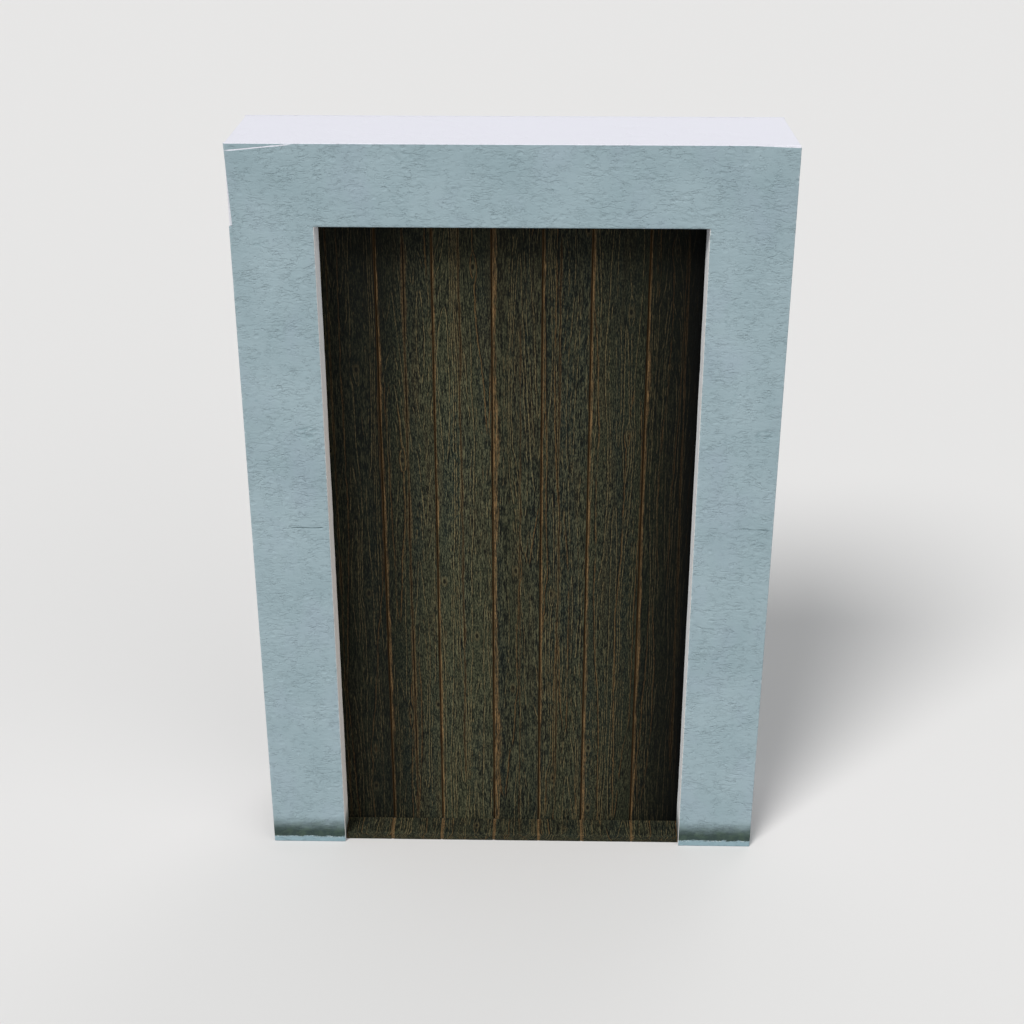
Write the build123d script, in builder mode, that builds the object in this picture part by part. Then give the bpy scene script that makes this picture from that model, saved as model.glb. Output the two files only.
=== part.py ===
from build123d import *
import math
import os

# A wooden plank door in a thick plastered surround, in millimetres, +Z up.
# The front faces -Y. The origin is on the ground, in the middle of the wall's
# width and thickness, and +X is to the right of someone who faces the front.

os.makedirs("parts", exist_ok=True)

# The surround: two piers and a lintel
opening_width = 1050
opening_height = 1988
pier_width = 225
lintel_height = 222
surround_depth = 358
rebate_side = 33
rebate_top = 28

# The plaster coats on the front and back of the wall
coat_thickness = 10
coat_setback = 9
coat_dip = 5
coat_dip_length = 130

# The timber threshold between the piers
threshold_height = 25
threshold_setback = 17
threshold_wear_radius = 7

# The leaf in its rebate
leaf_recess = 105
leaf_front_gap = 6
leaf_side_gap = 8
leaf_top_gap = 8
leaf_floor_gap = 10

# The tongued and grooved boards, with the two outer ones as wide as what is left
board_thickness = 32
inner_board_widths = [156, 165, 141, 136, 158]
board_bevel = 2.5
seam_gap = 2
tongue_thickness = 10
tongue_depth = 10
tongue_fit = 0.3

# The ledges across the back of the boards
ledge_width = 150
ledge_thickness = 32
ledge_inset = 40
ledge_bevel = 7
bottom_ledge_rise = 240
top_ledge_drop = 228

# The braces between the ledges, housed in notches
brace_width = 110
brace_inset = 145
brace_bevel = 5
housing_depth = 25
housing_fit = 0.3

# The strap hinges and the hooks that carry them
strap_thickness = 6
strap_eye_width = 50
strap_neck_width = 28
strap_length = 640
strap_end_radius = 23
pin_radius = 8
pin_rise = 10
eye_fit = 0.4
eye_wall = 5.6
eye_wall_gap = 5
eye_rest_gap = 0.3
collar_radius = 13
collar_height = 5
shank_size = 16
shank_embed = 110
shank_fit = 0.3

# Planes across the wall, from front to back
wall_front = -surround_depth / 2
wall_back = surround_depth / 2
core_front = wall_front + coat_thickness
core_back = wall_back - coat_thickness
leaf_front = wall_front + leaf_recess
lip_back = leaf_front - leaf_front_gap
board_back = leaf_front + board_thickness
ledge_back = board_back + ledge_thickness

# Edges along the wall, measured from its middle
reveal_front = opening_width / 2
wall_end = reveal_front + pier_width
reveal_back = reveal_front + rebate_side
leaf_edge = reveal_back - leaf_side_gap
ledge_end = leaf_edge - ledge_inset

# Heights above the ground, with the middle ledge halfway between the other two
surround_height = opening_height + lintel_height
leaf_foot = leaf_floor_gap
leaf_top = opening_height + rebate_top - leaf_top_gap
bottom_ledge_height = leaf_foot + bottom_ledge_rise
top_ledge_height = leaf_top - top_ledge_drop
middle_ledge_height = (bottom_ledge_height + top_ledge_height) / 2

# The hinge axis stands beside the leaf's left edge, level with the straps
bore_radius = pin_radius + eye_fit
eye_radius = bore_radius + eye_wall
axis_x = -reveal_back + eye_wall_gap + eye_radius
axis_y = ledge_back + strap_thickness / 2


def collar_top(strap_height):
    return strap_height - strap_eye_width / 2 - eye_rest_gap


def make_pier(side, name):
    # A pier with an L-shaped plan: the front lip is the stop that the leaf shuts against
    outline = [
        (side * wall_end, core_front),
        (side * reveal_front, core_front),
        (side * reveal_front, lip_back),
        (side * reveal_back, lip_back),
        (side * reveal_back, core_back),
        (side * wall_end, core_back),
    ]
    with BuildPart() as pier:
        with BuildSketch():
            with BuildLine():
                Polyline(outline, close=True)
            make_face()
        extrude(amount=opening_height)
        if side < 0:
            # square sockets for the shanks of the hooks
            for strap_height in (bottom_ledge_height, top_ledge_height):
                socket_z = collar_top(strap_height) - collar_height - shank_size / 2
                with BuildSketch(Plane.YZ.offset(-reveal_back)):
                    with Locations((axis_y, socket_z)):
                        Rectangle(shank_size + 2 * shank_fit, shank_size + 2 * shank_fit)
                extrude(amount=-shank_embed - shank_fit, mode=Mode.SUBTRACT)
    pier.part.label = name
    export_step(pier.part, f"parts/{name}.step")


def make_lintel():
    # The lintel spans both piers, and its underside has the rebate's head cut in it
    pocket_depth = core_back - lip_back
    with BuildPart() as lintel:
        with BuildSketch(Plane.XY.offset(opening_height)):
            with Locations((0, (core_front + core_back) / 2)):
                Rectangle(2 * wall_end, core_back - core_front)
        extrude(amount=lintel_height)
        with BuildSketch(Plane.XY.offset(opening_height)):
            with Locations((0, lip_back + pocket_depth / 2)):
                Rectangle(2 * reveal_back, pocket_depth)
        extrude(amount=rebate_top, mode=Mode.SUBTRACT)
    lintel.part.label = "lintel"
    export_step(lintel.part, "parts/lintel.step")


def make_pier_coat(side, face_y, reveal, name):
    # Plaster on one pier, from the ground to the lintel
    with BuildPart() as coat:
        with BuildSketch(Plane.XZ.offset(-face_y)):
            with Locations((side * (wall_end + reveal) / 2, opening_height / 2)):
                Rectangle(wall_end - reveal, opening_height)
        extrude(amount=coat_thickness)
    coat.part.label = name
    export_step(coat.part, f"parts/{name}.step")


def make_head_front_coat():
    # Plaster on the lintel, which runs off the left corner and sinks at the right one
    outline = [
        (-wall_end + coat_setback, opening_height),
        (-wall_end, surround_height),
        (wall_end - coat_dip_length, surround_height),
        (wall_end, surround_height - coat_dip),
        (wall_end, opening_height),
    ]
    with BuildPart() as coat:
        with BuildSketch(Plane.XZ.offset(-core_front)):
            with BuildLine():
                Polyline(outline, close=True)
            make_face()
        extrude(amount=coat_thickness)
    coat.part.label = "head_front_plaster"
    export_step(coat.part, "parts/head_front_plaster.step")


def make_head_back_coat():
    # Plaster over the wider and higher opening at the back
    with BuildPart() as coat:
        with BuildSketch(Plane.XZ.offset(-wall_back)):
            with Locations((0, opening_height + lintel_height / 2)):
                Rectangle(2 * wall_end, lintel_height)
            with Locations((0, opening_height + rebate_top / 2)):
                Rectangle(2 * reveal_back, rebate_top, mode=Mode.SUBTRACT)
        extrude(amount=coat_thickness)
    coat.part.label = "head_back_plaster"
    export_step(coat.part, "parts/head_back_plaster.step")


def make_threshold():
    # A timber on the ground between the piers, with its front arris worn round
    threshold_front = wall_front + threshold_setback
    threshold_depth = lip_back - threshold_front
    with BuildPart() as threshold:
        with BuildSketch(Plane.XY):
            with Locations((0, threshold_front + threshold_depth / 2)):
                Rectangle(opening_width, threshold_depth)
        extrude(amount=threshold_height)
        top_edges = threshold.faces().sort_by(Axis.Z)[-1].edges()
        fillet(top_edges.sort_by(Axis.Y)[0], threshold_wear_radius)
    threshold.part.label = "threshold"
    export_step(threshold.part, "parts/threshold.step")


def make_hook(strap_height, name):
    # An upright pin with a collar under the eye, on a square shank that goes into the pier
    pin_top = strap_height + strap_eye_width / 2 + pin_rise
    collar_foot = collar_top(strap_height) - collar_height
    shank_foot = collar_foot - shank_size
    shank_tip = -reveal_back - shank_embed
    shank_length = axis_x + shank_size / 2 - shank_tip
    with BuildPart() as hook:
        with BuildSketch(Plane.XY.offset(shank_foot)):
            with Locations((shank_tip + shank_length / 2, axis_y)):
                Rectangle(shank_length, shank_size)
        extrude(amount=shank_size)
        with BuildSketch(Plane.XY.offset(collar_foot)):
            with Locations((axis_x, axis_y)):
                Circle(collar_radius)
        extrude(amount=collar_height)
        with BuildSketch(Plane.XY.offset(collar_foot)):
            with Locations((axis_x, axis_y)):
                Circle(pin_radius)
        extrude(amount=pin_top - collar_foot)
        fillet(hook.faces().sort_by(Axis.Z)[-1].edges(), pin_radius * 0.45)
    hook.part.label = name
    export_step(hook.part, f"parts/{name}.step")


def make_boards():
    # Boards side by side: each has a tongue on its right edge and a groove in its left
    outer_width = leaf_edge - sum(inner_board_widths) / 2
    widths = [outer_width] + inner_board_widths + [outer_width]
    middle_y = leaf_front + board_thickness / 2
    left_seam = -leaf_edge
    for number, width in enumerate(widths, start=1):
        first = number == 1
        last = number == len(widths)
        right_seam = left_seam + width
        left_edge = left_seam if first else left_seam + seam_gap / 2
        right_edge = right_seam if last else right_seam - seam_gap / 2
        with BuildPart() as board:
            with BuildSketch(Plane.XY.offset(leaf_foot)) as profile:
                with Locations(((left_edge + right_edge) / 2, middle_y)):
                    Rectangle(right_edge - left_edge, board_thickness)
                chamfer(profile.vertices(), board_bevel)
                if not last:
                    with Locations((right_edge, middle_y)):
                        Rectangle(
                            seam_gap + tongue_depth,
                            tongue_thickness,
                            align=(Align.MIN, Align.CENTER),
                        )
                if not first:
                    with Locations((left_edge, middle_y)):
                        Rectangle(
                            tongue_depth + tongue_fit,
                            tongue_thickness + 2 * tongue_fit,
                            align=(Align.MIN, Align.CENTER),
                            mode=Mode.SUBTRACT,
                        )
            extrude(amount=leaf_top - leaf_foot)
        board.part.label = f"board_{number}"
        export_step(board.part, f"parts/board_{number}.step")
        left_seam = right_seam


def brace_outline(foot_z, head_z, fit):
    # A slanting bar from the hinge side up to the free side, cut level at both ends,
    # and grown by the fit all round where it is the notch for the bar
    reach = ledge_end - brace_inset
    slope = (head_z - foot_z) / (2 * reach)
    half_level_width = (brace_width / 2 + fit) / math.sin(math.atan(slope))
    low_z = foot_z - housing_depth - fit
    high_z = head_z + housing_depth + fit
    low_x = -reach + (low_z - foot_z) / slope
    high_x = -reach + (high_z - foot_z) / slope
    return [
        (low_x - half_level_width, low_z),
        (low_x + half_level_width, low_z),
        (high_x + half_level_width, high_z),
        (high_x - half_level_width, high_z),
    ]


def make_ledge(height, name, brace_bays):
    # A board across the back of the leaf, bevelled round its back face and notched
    # for the braces of the bays beside it
    with BuildPart() as ledge:
        with BuildSketch(Plane.XZ.offset(-ledge_back)):
            with Locations((0, height)):
                Rectangle(2 * ledge_end, ledge_width)
        extrude(amount=ledge_thickness)
        chamfer(ledge.faces().sort_by(Axis.Y)[-1].edges(), ledge_bevel)
        for foot_z, head_z in brace_bays:
            with BuildSketch(Plane.XZ.offset(-ledge_back)):
                with BuildLine():
                    Polyline(brace_outline(foot_z, head_z, housing_fit), close=True)
                make_face()
            extrude(amount=ledge_thickness, mode=Mode.SUBTRACT)
    ledge.part.label = name
    export_step(ledge.part, f"parts/{name}.step")


def make_brace(foot_z, head_z, name):
    with BuildPart() as brace:
        with BuildSketch(Plane.XZ.offset(-ledge_back)):
            with BuildLine():
                Polyline(brace_outline(foot_z, head_z, 0), close=True)
            make_face()
        extrude(amount=ledge_thickness)
        back_edges = brace.faces().sort_by(Axis.Y)[-1].edges()
        chamfer(back_edges.sort_by(SortBy.LENGTH)[-2:], brace_bevel)
    brace.part.label = name
    export_step(brace.part, f"parts/{name}.step")


def make_strap(height, name):
    # A strap that tapers from its rolled eye to a neck, and ends in a round pad
    strap_tip = axis_x + strap_length
    pad_centre = strap_tip - strap_end_radius
    outline = [
        (axis_x, height - strap_eye_width / 2),
        (pad_centre, height - strap_neck_width / 2),
        (pad_centre, height + strap_neck_width / 2),
        (axis_x, height + strap_eye_width / 2),
    ]
    with BuildPart() as strap:
        with BuildSketch(Plane.XZ.offset(-ledge_back - strap_thickness)):
            with BuildLine():
                Polyline(outline, close=True)
            make_face()
            with Locations((pad_centre, height)):
                Circle(strap_end_radius)
        extrude(amount=strap_thickness)
        with BuildSketch(Plane.XY.offset(height - strap_eye_width / 2)):
            with Locations((axis_x, axis_y)):
                Circle(eye_radius)
        extrude(amount=strap_eye_width)
        with BuildSketch(Plane.XY.offset(height - strap_eye_width / 2)):
            with Locations((axis_x, axis_y)):
                Circle(bore_radius)
        extrude(amount=strap_eye_width, mode=Mode.SUBTRACT)
    strap.part.label = name
    export_step(strap.part, f"parts/{name}.step")


# The fixed surround
make_pier(-1, "left_pier")
make_pier(1, "right_pier")
make_lintel()
make_pier_coat(-1, core_front, reveal_front, "left_front_plaster")
make_pier_coat(1, core_front, reveal_front, "right_front_plaster")
make_head_front_coat()
make_pier_coat(-1, wall_back, reveal_back, "left_back_plaster")
make_pier_coat(1, wall_back, reveal_back, "right_back_plaster")
make_head_back_coat()
make_threshold()
make_hook(top_ledge_height, "upper_hook")
make_hook(bottom_ledge_height, "lower_hook")

# The leaf, with a brace in each of the two bays between its ledges
half_ledge = ledge_width / 2
lower_bay = (bottom_ledge_height + half_ledge, middle_ledge_height - half_ledge)
upper_bay = (middle_ledge_height + half_ledge, top_ledge_height - half_ledge)
make_boards()
make_ledge(bottom_ledge_height, "bottom_ledge", [lower_bay])
make_ledge(middle_ledge_height, "middle_ledge", [lower_bay, upper_bay])
make_ledge(top_ledge_height, "top_ledge", [upper_bay])
make_brace(*lower_bay, "lower_brace")
make_brace(*upper_bay, "upper_brace")
make_strap(top_ledge_height, "upper_strap")
make_strap(bottom_ledge_height, "lower_strap")
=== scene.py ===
import math

import bmesh
import bpy
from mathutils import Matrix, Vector


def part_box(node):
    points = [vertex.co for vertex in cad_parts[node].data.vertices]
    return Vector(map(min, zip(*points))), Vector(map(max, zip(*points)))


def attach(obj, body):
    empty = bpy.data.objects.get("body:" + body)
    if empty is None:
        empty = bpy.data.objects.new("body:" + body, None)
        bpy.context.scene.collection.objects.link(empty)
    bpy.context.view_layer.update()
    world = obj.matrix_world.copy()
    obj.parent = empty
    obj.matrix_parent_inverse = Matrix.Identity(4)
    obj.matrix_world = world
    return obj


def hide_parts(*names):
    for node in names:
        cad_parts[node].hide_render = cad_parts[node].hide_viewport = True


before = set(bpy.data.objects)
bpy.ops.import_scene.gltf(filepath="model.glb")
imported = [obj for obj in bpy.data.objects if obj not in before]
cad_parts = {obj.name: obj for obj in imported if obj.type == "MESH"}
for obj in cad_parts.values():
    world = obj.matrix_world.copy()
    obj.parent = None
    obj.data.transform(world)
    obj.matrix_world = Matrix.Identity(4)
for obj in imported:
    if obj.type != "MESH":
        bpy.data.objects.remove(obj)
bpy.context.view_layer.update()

# A wooden plank door in a thick plastered surround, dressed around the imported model.
# Metres, +Z up, the front faces -Y. The leaf is at rest when it is shut.

mm = 0.001


def fromScreen(red, green, blue):
    # a colour picked as 0 to 255 on a screen, as the linear colour that sockets take
    def linear(value):
        value /= 255
        return value / 12.92 if value <= 0.04045 else ((value + 0.055) / 1.055) ** 2.4
    return (linear(red), linear(green), linear(blue), 1.0)


# Camera, floor and lamps

cameraLook = {
    "place": (0.0875, -4.4063, 3.1464),
    "tiltDegrees": 64.827,
    "turnDegrees": 1.165,
    "lens": 57.43,
    "sensor": 36.0,
}

studioLook = {
    "floorReach": 60.0,
    "paleSeen": fromScreen(215, 213, 211),
    "paleLit": (0.30, 0.30, 0.31, 1.0),
    "skyColour": (0.92, 0.96, 1.0, 1.0),
    "skyStrength": 0.43,
    "keyDirection": (-0.34, -0.575, 0.745),
    "keyStrength": 2.7,
    "keySoftDegrees": 22.0,
    "fillDirection": (0.70, -0.66, 0.25),
    "fillStrength": 1.0,
    "fillSoftDegrees": 60.0,
    "backDirection": (0.45, 0.88, 0.14),
    "backStrength": 1.0,
    "backSoftDegrees": 40.0,
}


def makeCamera(look):
    data = bpy.data.cameras.new("photoCamera")
    data.lens = look["lens"]
    data.sensor_width = look["sensor"]
    data.sensor_fit = "HORIZONTAL"
    camera = bpy.data.objects.new("photoCamera", data)
    camera.location = look["place"]
    camera.rotation_euler = (math.radians(look["tiltDegrees"]), 0, math.radians(look["turnDegrees"]))
    bpy.context.scene.collection.objects.link(camera)
    bpy.context.scene.camera = camera


def addNode(tree, kind, inputs=None, **settings):
    # one node, with its settings first because they can change which sockets it has
    node = tree.nodes.new(kind)
    for name, value in settings.items():
        setattr(node, name, value)
    for key, value in (inputs or {}).items():
        if isinstance(value, bpy.types.NodeSocket):
            tree.links.new(value, node.inputs[key])
        else:
            node.inputs[key].default_value = value
    return node


def calc(tree, operation, *values, clamp=False):
    node = addNode(tree, "ShaderNodeMath", dict(enumerate(values)), operation=operation)
    node.use_clamp = clamp
    return node.outputs[0]


def vectorCalc(tree, operation, *values):
    inputs = dict(enumerate(values))
    if operation == "SCALE":
        inputs = {0: values[0], "Scale": values[1]}
    node = addNode(tree, "ShaderNodeVectorMath", inputs, operation=operation)
    return node.outputs["Value" if operation in ("DOT_PRODUCT", "LENGTH") else "Vector"]


def remap(tree, value, low, high, toLow=0.0, toHigh=1.0, smooth=False):
    kind = "SMOOTHSTEP" if smooth else "LINEAR"
    inputs = {"Value": value, "From Min": low, "From Max": high, "To Min": toLow, "To Max": toHigh}
    return addNode(tree, "ShaderNodeMapRange", inputs, interpolation_type=kind).outputs["Result"]


def noise(tree, vector, scale=1.0, detail=2.0, roughness=0.5, distortion=0.0):
    inputs = {"Vector": vector, "Scale": scale, "Detail": detail, "Roughness": roughness,
              "Distortion": distortion}
    return addNode(tree, "ShaderNodeTexNoise", inputs).outputs[0]


def stretched(tree, vector, scale):
    return vectorCalc(tree, "MULTIPLY", vector, scale)


def mixColour(tree, factor, first, second, blend="MIX"):
    inputs = {0: factor, 6: first, 7: second}
    return addNode(tree, "ShaderNodeMix", inputs, data_type="RGBA", blend_type=blend).outputs[2]


def splitAxes(tree, vector):
    return addNode(tree, "ShaderNodeSeparateXYZ", {0: vector}).outputs


def joinAxes(tree, x=0.0, y=0.0, z=0.0):
    return addNode(tree, "ShaderNodeCombineXYZ", {0: x, 1: y, 2: z}).outputs[0]


def objectPlace(tree):
    return tree.nodes.new("ShaderNodeTexCoord").outputs["Object"]


def newGroup(name, kind, inputs, outputs):
    # a node group with named sockets, returned with the sockets to build on and its end node
    group = bpy.data.node_groups.new(name, kind)
    for socketName, socketType, value in inputs:
        socket = group.interface.new_socket(socketName, in_out="INPUT", socket_type=socketType)
        if value is not None:
            socket.default_value = value
    for socketName, socketType in outputs:
        group.interface.new_socket(socketName, in_out="OUTPUT", socket_type=socketType)
    start = group.nodes.new("NodeGroupInput")
    end = group.nodes.new("NodeGroupOutput")
    return group, start.outputs, end.inputs


def useGroup(tree, group, inputs):
    node = tree.nodes.new("ShaderNodeGroup")
    node.node_tree = group
    for key, value in inputs.items():
        if isinstance(value, bpy.types.NodeSocket):
            tree.links.new(value, node.inputs[key])
        else:
            node.inputs[key].default_value = value
    return node.outputs


def newMaterial(name):
    material = bpy.data.materials.new(name)
    material.use_nodes = True
    tree = material.node_tree
    return material, tree, tree.nodes["Principled BSDF"]


def seenDirectly(tree):
    # 1 for what the camera sees, also in a mirror or through glass, and 0 for light that bounces
    rays = tree.nodes.new("ShaderNodeLightPath").outputs
    shown = calc(tree, "MAXIMUM", rays["Is Camera Ray"], rays["Is Glossy Ray"])
    return calc(tree, "MAXIMUM", shown, rays["Is Transmission Ray"])


def makeStudio(look):
    # the floor looks pale to the camera, and bounces little light up at the object
    mesh = bpy.data.meshes.new("studioFloor")
    reach = look["floorReach"]
    corners = [(-reach, -reach, 0), (reach, -reach, 0), (reach, reach, 0), (-reach, reach, 0)]
    mesh.from_pydata(corners, [], [(0, 1, 2, 3)])
    floor = bpy.data.objects.new("studioFloor", mesh)
    bpy.context.scene.collection.objects.link(floor)
    material, tree, shader = newMaterial("paleFloor")
    colour = mixColour(tree, seenDirectly(tree), look["paleLit"], look["paleSeen"])
    tree.links.new(colour, shader.inputs["Base Color"])
    shader.inputs["Roughness"].default_value = 1.0
    shader.inputs["Specular IOR Level"].default_value = 0.0
    mesh.materials.append(material)

    world = bpy.data.worlds.new("studioSky")
    world.use_nodes = True
    bpy.context.scene.world = world
    tree = world.node_tree
    background = tree.nodes["Background"]
    shown = seenDirectly(tree)
    colour = mixColour(tree, shown, look["skyColour"], look["paleSeen"])
    strength = remap(tree, shown, 0.0, 1.0, look["skyStrength"], 1.0)
    tree.links.new(colour, background.inputs["Color"])
    tree.links.new(strength, background.inputs["Strength"])

    for role in ("key", "fill", "back"):
        lamp = bpy.data.lights.new(role + "Lamp", "SUN")
        lamp.energy = look[role + "Strength"]
        lamp.angle = math.radians(look[role + "SoftDegrees"])
        holder = bpy.data.objects.new(role + "Lamp", lamp)
        holder.rotation_euler = Vector(look[role + "Direction"]).to_track_quat("Z", "Y").to_euler()
        bpy.context.scene.collection.objects.link(holder)


def setView():
    bpy.context.scene.view_settings.view_transform = "Standard"


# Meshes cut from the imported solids


def cutAlong(work, axis, places, isCut=None):
    # cuts every face at each place along an axis, and leaves alone what is already behind the cut
    normal = Vector((0, 0, 0))
    normal[axis] = 1
    pending = [face for face in work.faces if not isCut or isCut(face.calc_center_median())]
    for place in sorted(places):
        # dictionaries keep the order, which sets would change from run to run
        edges = list(dict.fromkeys(edge for face in pending for edge in face.edges))
        corners = list(dict.fromkeys(corner for face in pending for corner in face.verts))
        cut = bmesh.ops.bisect_plane(
            work, geom=corners + edges + pending, dist=1e-6, plane_co=normal * place, plane_no=normal)
        pending = [part for part in cut["geom"] if isinstance(part, bmesh.types.BMFace)
                   and part.calc_center_median()[axis] > place]


def evenPlaces(low, high, step):
    count = max(1, round((high - low) / step))
    return [low + (high - low) * i / count for i in range(1, count)]


meshLook = {
    "mergeGap": 0.01 * mm,
    "flatDegrees": 1,
    "sharpDegrees": 30,
    "smoothDegrees": 50,
    "arrisSegments": 3,
    "hiddenCells": 4,
}


def mergedSolid(node):
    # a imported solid's loose triangles, merged into plain faces
    work = bmesh.new()
    work.from_mesh(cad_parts[node].data)
    bmesh.ops.remove_doubles(work, verts=work.verts, dist=meshLook["mergeGap"])
    flat = math.radians(meshLook["flatDegrees"])
    bmesh.ops.dissolve_limit(work, angle_limit=flat, verts=work.verts, edges=work.edges)
    return work


def gridCopy(node, name, steps, arris=0.0, keepArris=None, firstCuts=(), moreCuts=(), hiddenFrom=None,
             isCut=None):
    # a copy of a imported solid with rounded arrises, cut into cells small enough for relief. Where one
    # side is hidden, it is divided at hiddenFrom, and only what isCut accepts gets the small cells.
    low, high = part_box(node)
    work = mergedSolid(node)
    for axis, place in firstCuts:
        cutAlong(work, axis, [place])
    if arris:
        sharp = [edge for edge in work.edges
                 if edge.is_convex and edge.calc_face_angle(0) > math.radians(meshLook["sharpDegrees"])]
        if keepArris:
            sharp = [edge for edge in sharp if keepArris((edge.verts[0].co + edge.verts[1].co) / 2)]
        bmesh.ops.bevel(work, geom=sharp, offset=arris, segments=meshLook["arrisSegments"],
                        profile=0.5, affect="EDGES", clamp_overlap=True)
    if isCut:
        cutAlong(work, 1, [hiddenFrom])
        # only some of the cuts go through the hidden side too
        for axis in (2, 0):
            places = evenPlaces(low[axis], high[axis], steps[axis])
            cutAlong(work, axis, places[meshLook["hiddenCells"] - 1::meshLook["hiddenCells"]])
    for axis in (2, 0, 1):
        places = evenPlaces(low[axis], high[axis], steps[axis]) if steps[axis] else []
        places += [place for cutAxis, place in moreCuts if cutAxis == axis]
        cutAlong(work, axis, places, isCut)
    for face in work.faces:
        face.smooth = True
    for edge in work.edges:
        edge.smooth = edge.calc_face_angle(0) < math.radians(meshLook["smoothDegrees"])
    mesh = bpy.data.meshes.new(name)
    work.to_mesh(mesh)
    work.free()
    piece = bpy.data.objects.new(name, mesh)
    bpy.context.scene.collection.objects.link(piece)
    return piece


def bakeTree(piece, tree, values, fields=None):
    # runs a geometry tree on a piece, and keeps its result as a plain mesh
    modifier = piece.modifiers.new(tree.name, "NODES")
    modifier.node_group = tree
    for socket in tree.interface.items_tree:
        if socket.item_type != "SOCKET":
            continue
        if socket.name in values:
            modifier[socket.identifier] = values[socket.name]
        if fields and socket.name in fields:
            modifier[socket.identifier + "_use_attribute"] = True
            modifier[socket.identifier + "_attribute_name"] = fields[socket.name]
    bpy.context.view_layer.update()
    evaluated = piece.evaluated_get(bpy.context.evaluated_depsgraph_get())
    finished = bpy.data.meshes.new_from_object(evaluated)
    finished.name = piece.name
    piece.modifiers.remove(modifier)
    piece.data = finished
    return piece


def settle(piece, body, slotName, *nodes):
    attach(piece, body)
    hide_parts(*nodes)


def storeValue(tree, geometry, name, value, kind="FLOAT"):
    inputs = {"Geometry": geometry, "Name": name, "Value": value}
    return addNode(tree, "GeometryNodeStoreNamedAttribute", inputs, data_type=kind).outputs[0]


def finishTree(tree, geometry, material, end):
    # the last two nodes of every geometry tree
    real = addNode(tree, "GeometryNodeRealizeInstances", {0: geometry}).outputs[0]
    dressed = addNode(tree, "GeometryNodeSetMaterial", {"Geometry": real, "Material": material})
    tree.links.new(dressed.outputs[0], end["Geometry"])


# Relief of trowelled plaster: dents, ripples, chipped patches and one hairline crack


foldLook = {
    "stretch": (0.38, 0.38, 1.0),
    "stepAt": (0.50, 0.57),
    "patchShare": 0.20,
    "strength": (0.15, 1.05),
    "dentSize": 34 * mm,
    "smallDentSize": 16 * mm,
}


def trowelFolds(tree, vector, size):
    # low steps with one sharp side, here and there, as a trowel leaves them, for shape and bump alike
    flat = stretched(tree, vector, foldLook["stretch"])
    folds = noise(tree, flat, calc(tree, "DIVIDE", 1.0, size), 3.0, 0.6, 0.7)
    step = remap(tree, folds, *foldLook["stepAt"], 0.0, 1.0, True)
    patchScale = calc(tree, "DIVIDE", foldLook["patchShare"], size)
    here = remap(tree, noise(tree, vector, patchScale, 2.0, 0.6), 0.46, 0.62, *foldLook["strength"])
    return calc(tree, "MULTIPLY", step, here)


def dents(tree, vector, size):
    # round dents with a raised rim, in some of the cells of a loose grid
    scale = calc(tree, "DIVIDE", 1.0, size)
    rough = noise(tree, vector, calc(tree, "MULTIPLY", scale, 2.5), 3.0, 0.6)
    rough = remap(tree, rough, 0.0, 1.0, -0.16, 0.16)
    cells = addNode(tree, "ShaderNodeTexVoronoi", {"Vector": stretched(tree, vector, (0.8, 0.8, 1.0)),
                                                   "Scale": scale}).outputs
    chosen = remap(tree, splitAxes(tree, cells["Color"])[1], 0.62, 0.95)
    away = calc(tree, "ADD", cells["Distance"], rough)
    bowl = remap(tree, away, 0.10, 0.26, 1.0, 0.0, True)
    rim = calc(tree, "MULTIPLY", remap(tree, away, 0.16, 0.28, 0.0, 1.0, True),
               remap(tree, away, 0.28, 0.42, 1.0, 0.0, True))
    shape = calc(tree, "SUBTRACT", bowl, calc(tree, "MULTIPLY", rim, 0.35))
    return calc(tree, "MULTIPLY", shape, chosen)


def raggedPatch(tree, place, seeded, middle, reach):
    # how far a point is inside a patch with a ragged outline, wider than it is high
    away = vectorCalc(tree, "SUBTRACT", place, middle)
    away = vectorCalc(tree, "LENGTH", stretched(tree, away, (1.0, 0.0, 1.9)))
    ragged = calc(tree, "MULTIPLY_ADD", noise(tree, seeded, 70.0, 3.0, 0.6), 0.8, 0.6)
    gap = calc(tree, "DIVIDE", away, calc(tree, "MULTIPLY", reach, ragged))
    return remap(tree, gap, 0.55, 1.0, 1.0, 0.0, True)


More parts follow.
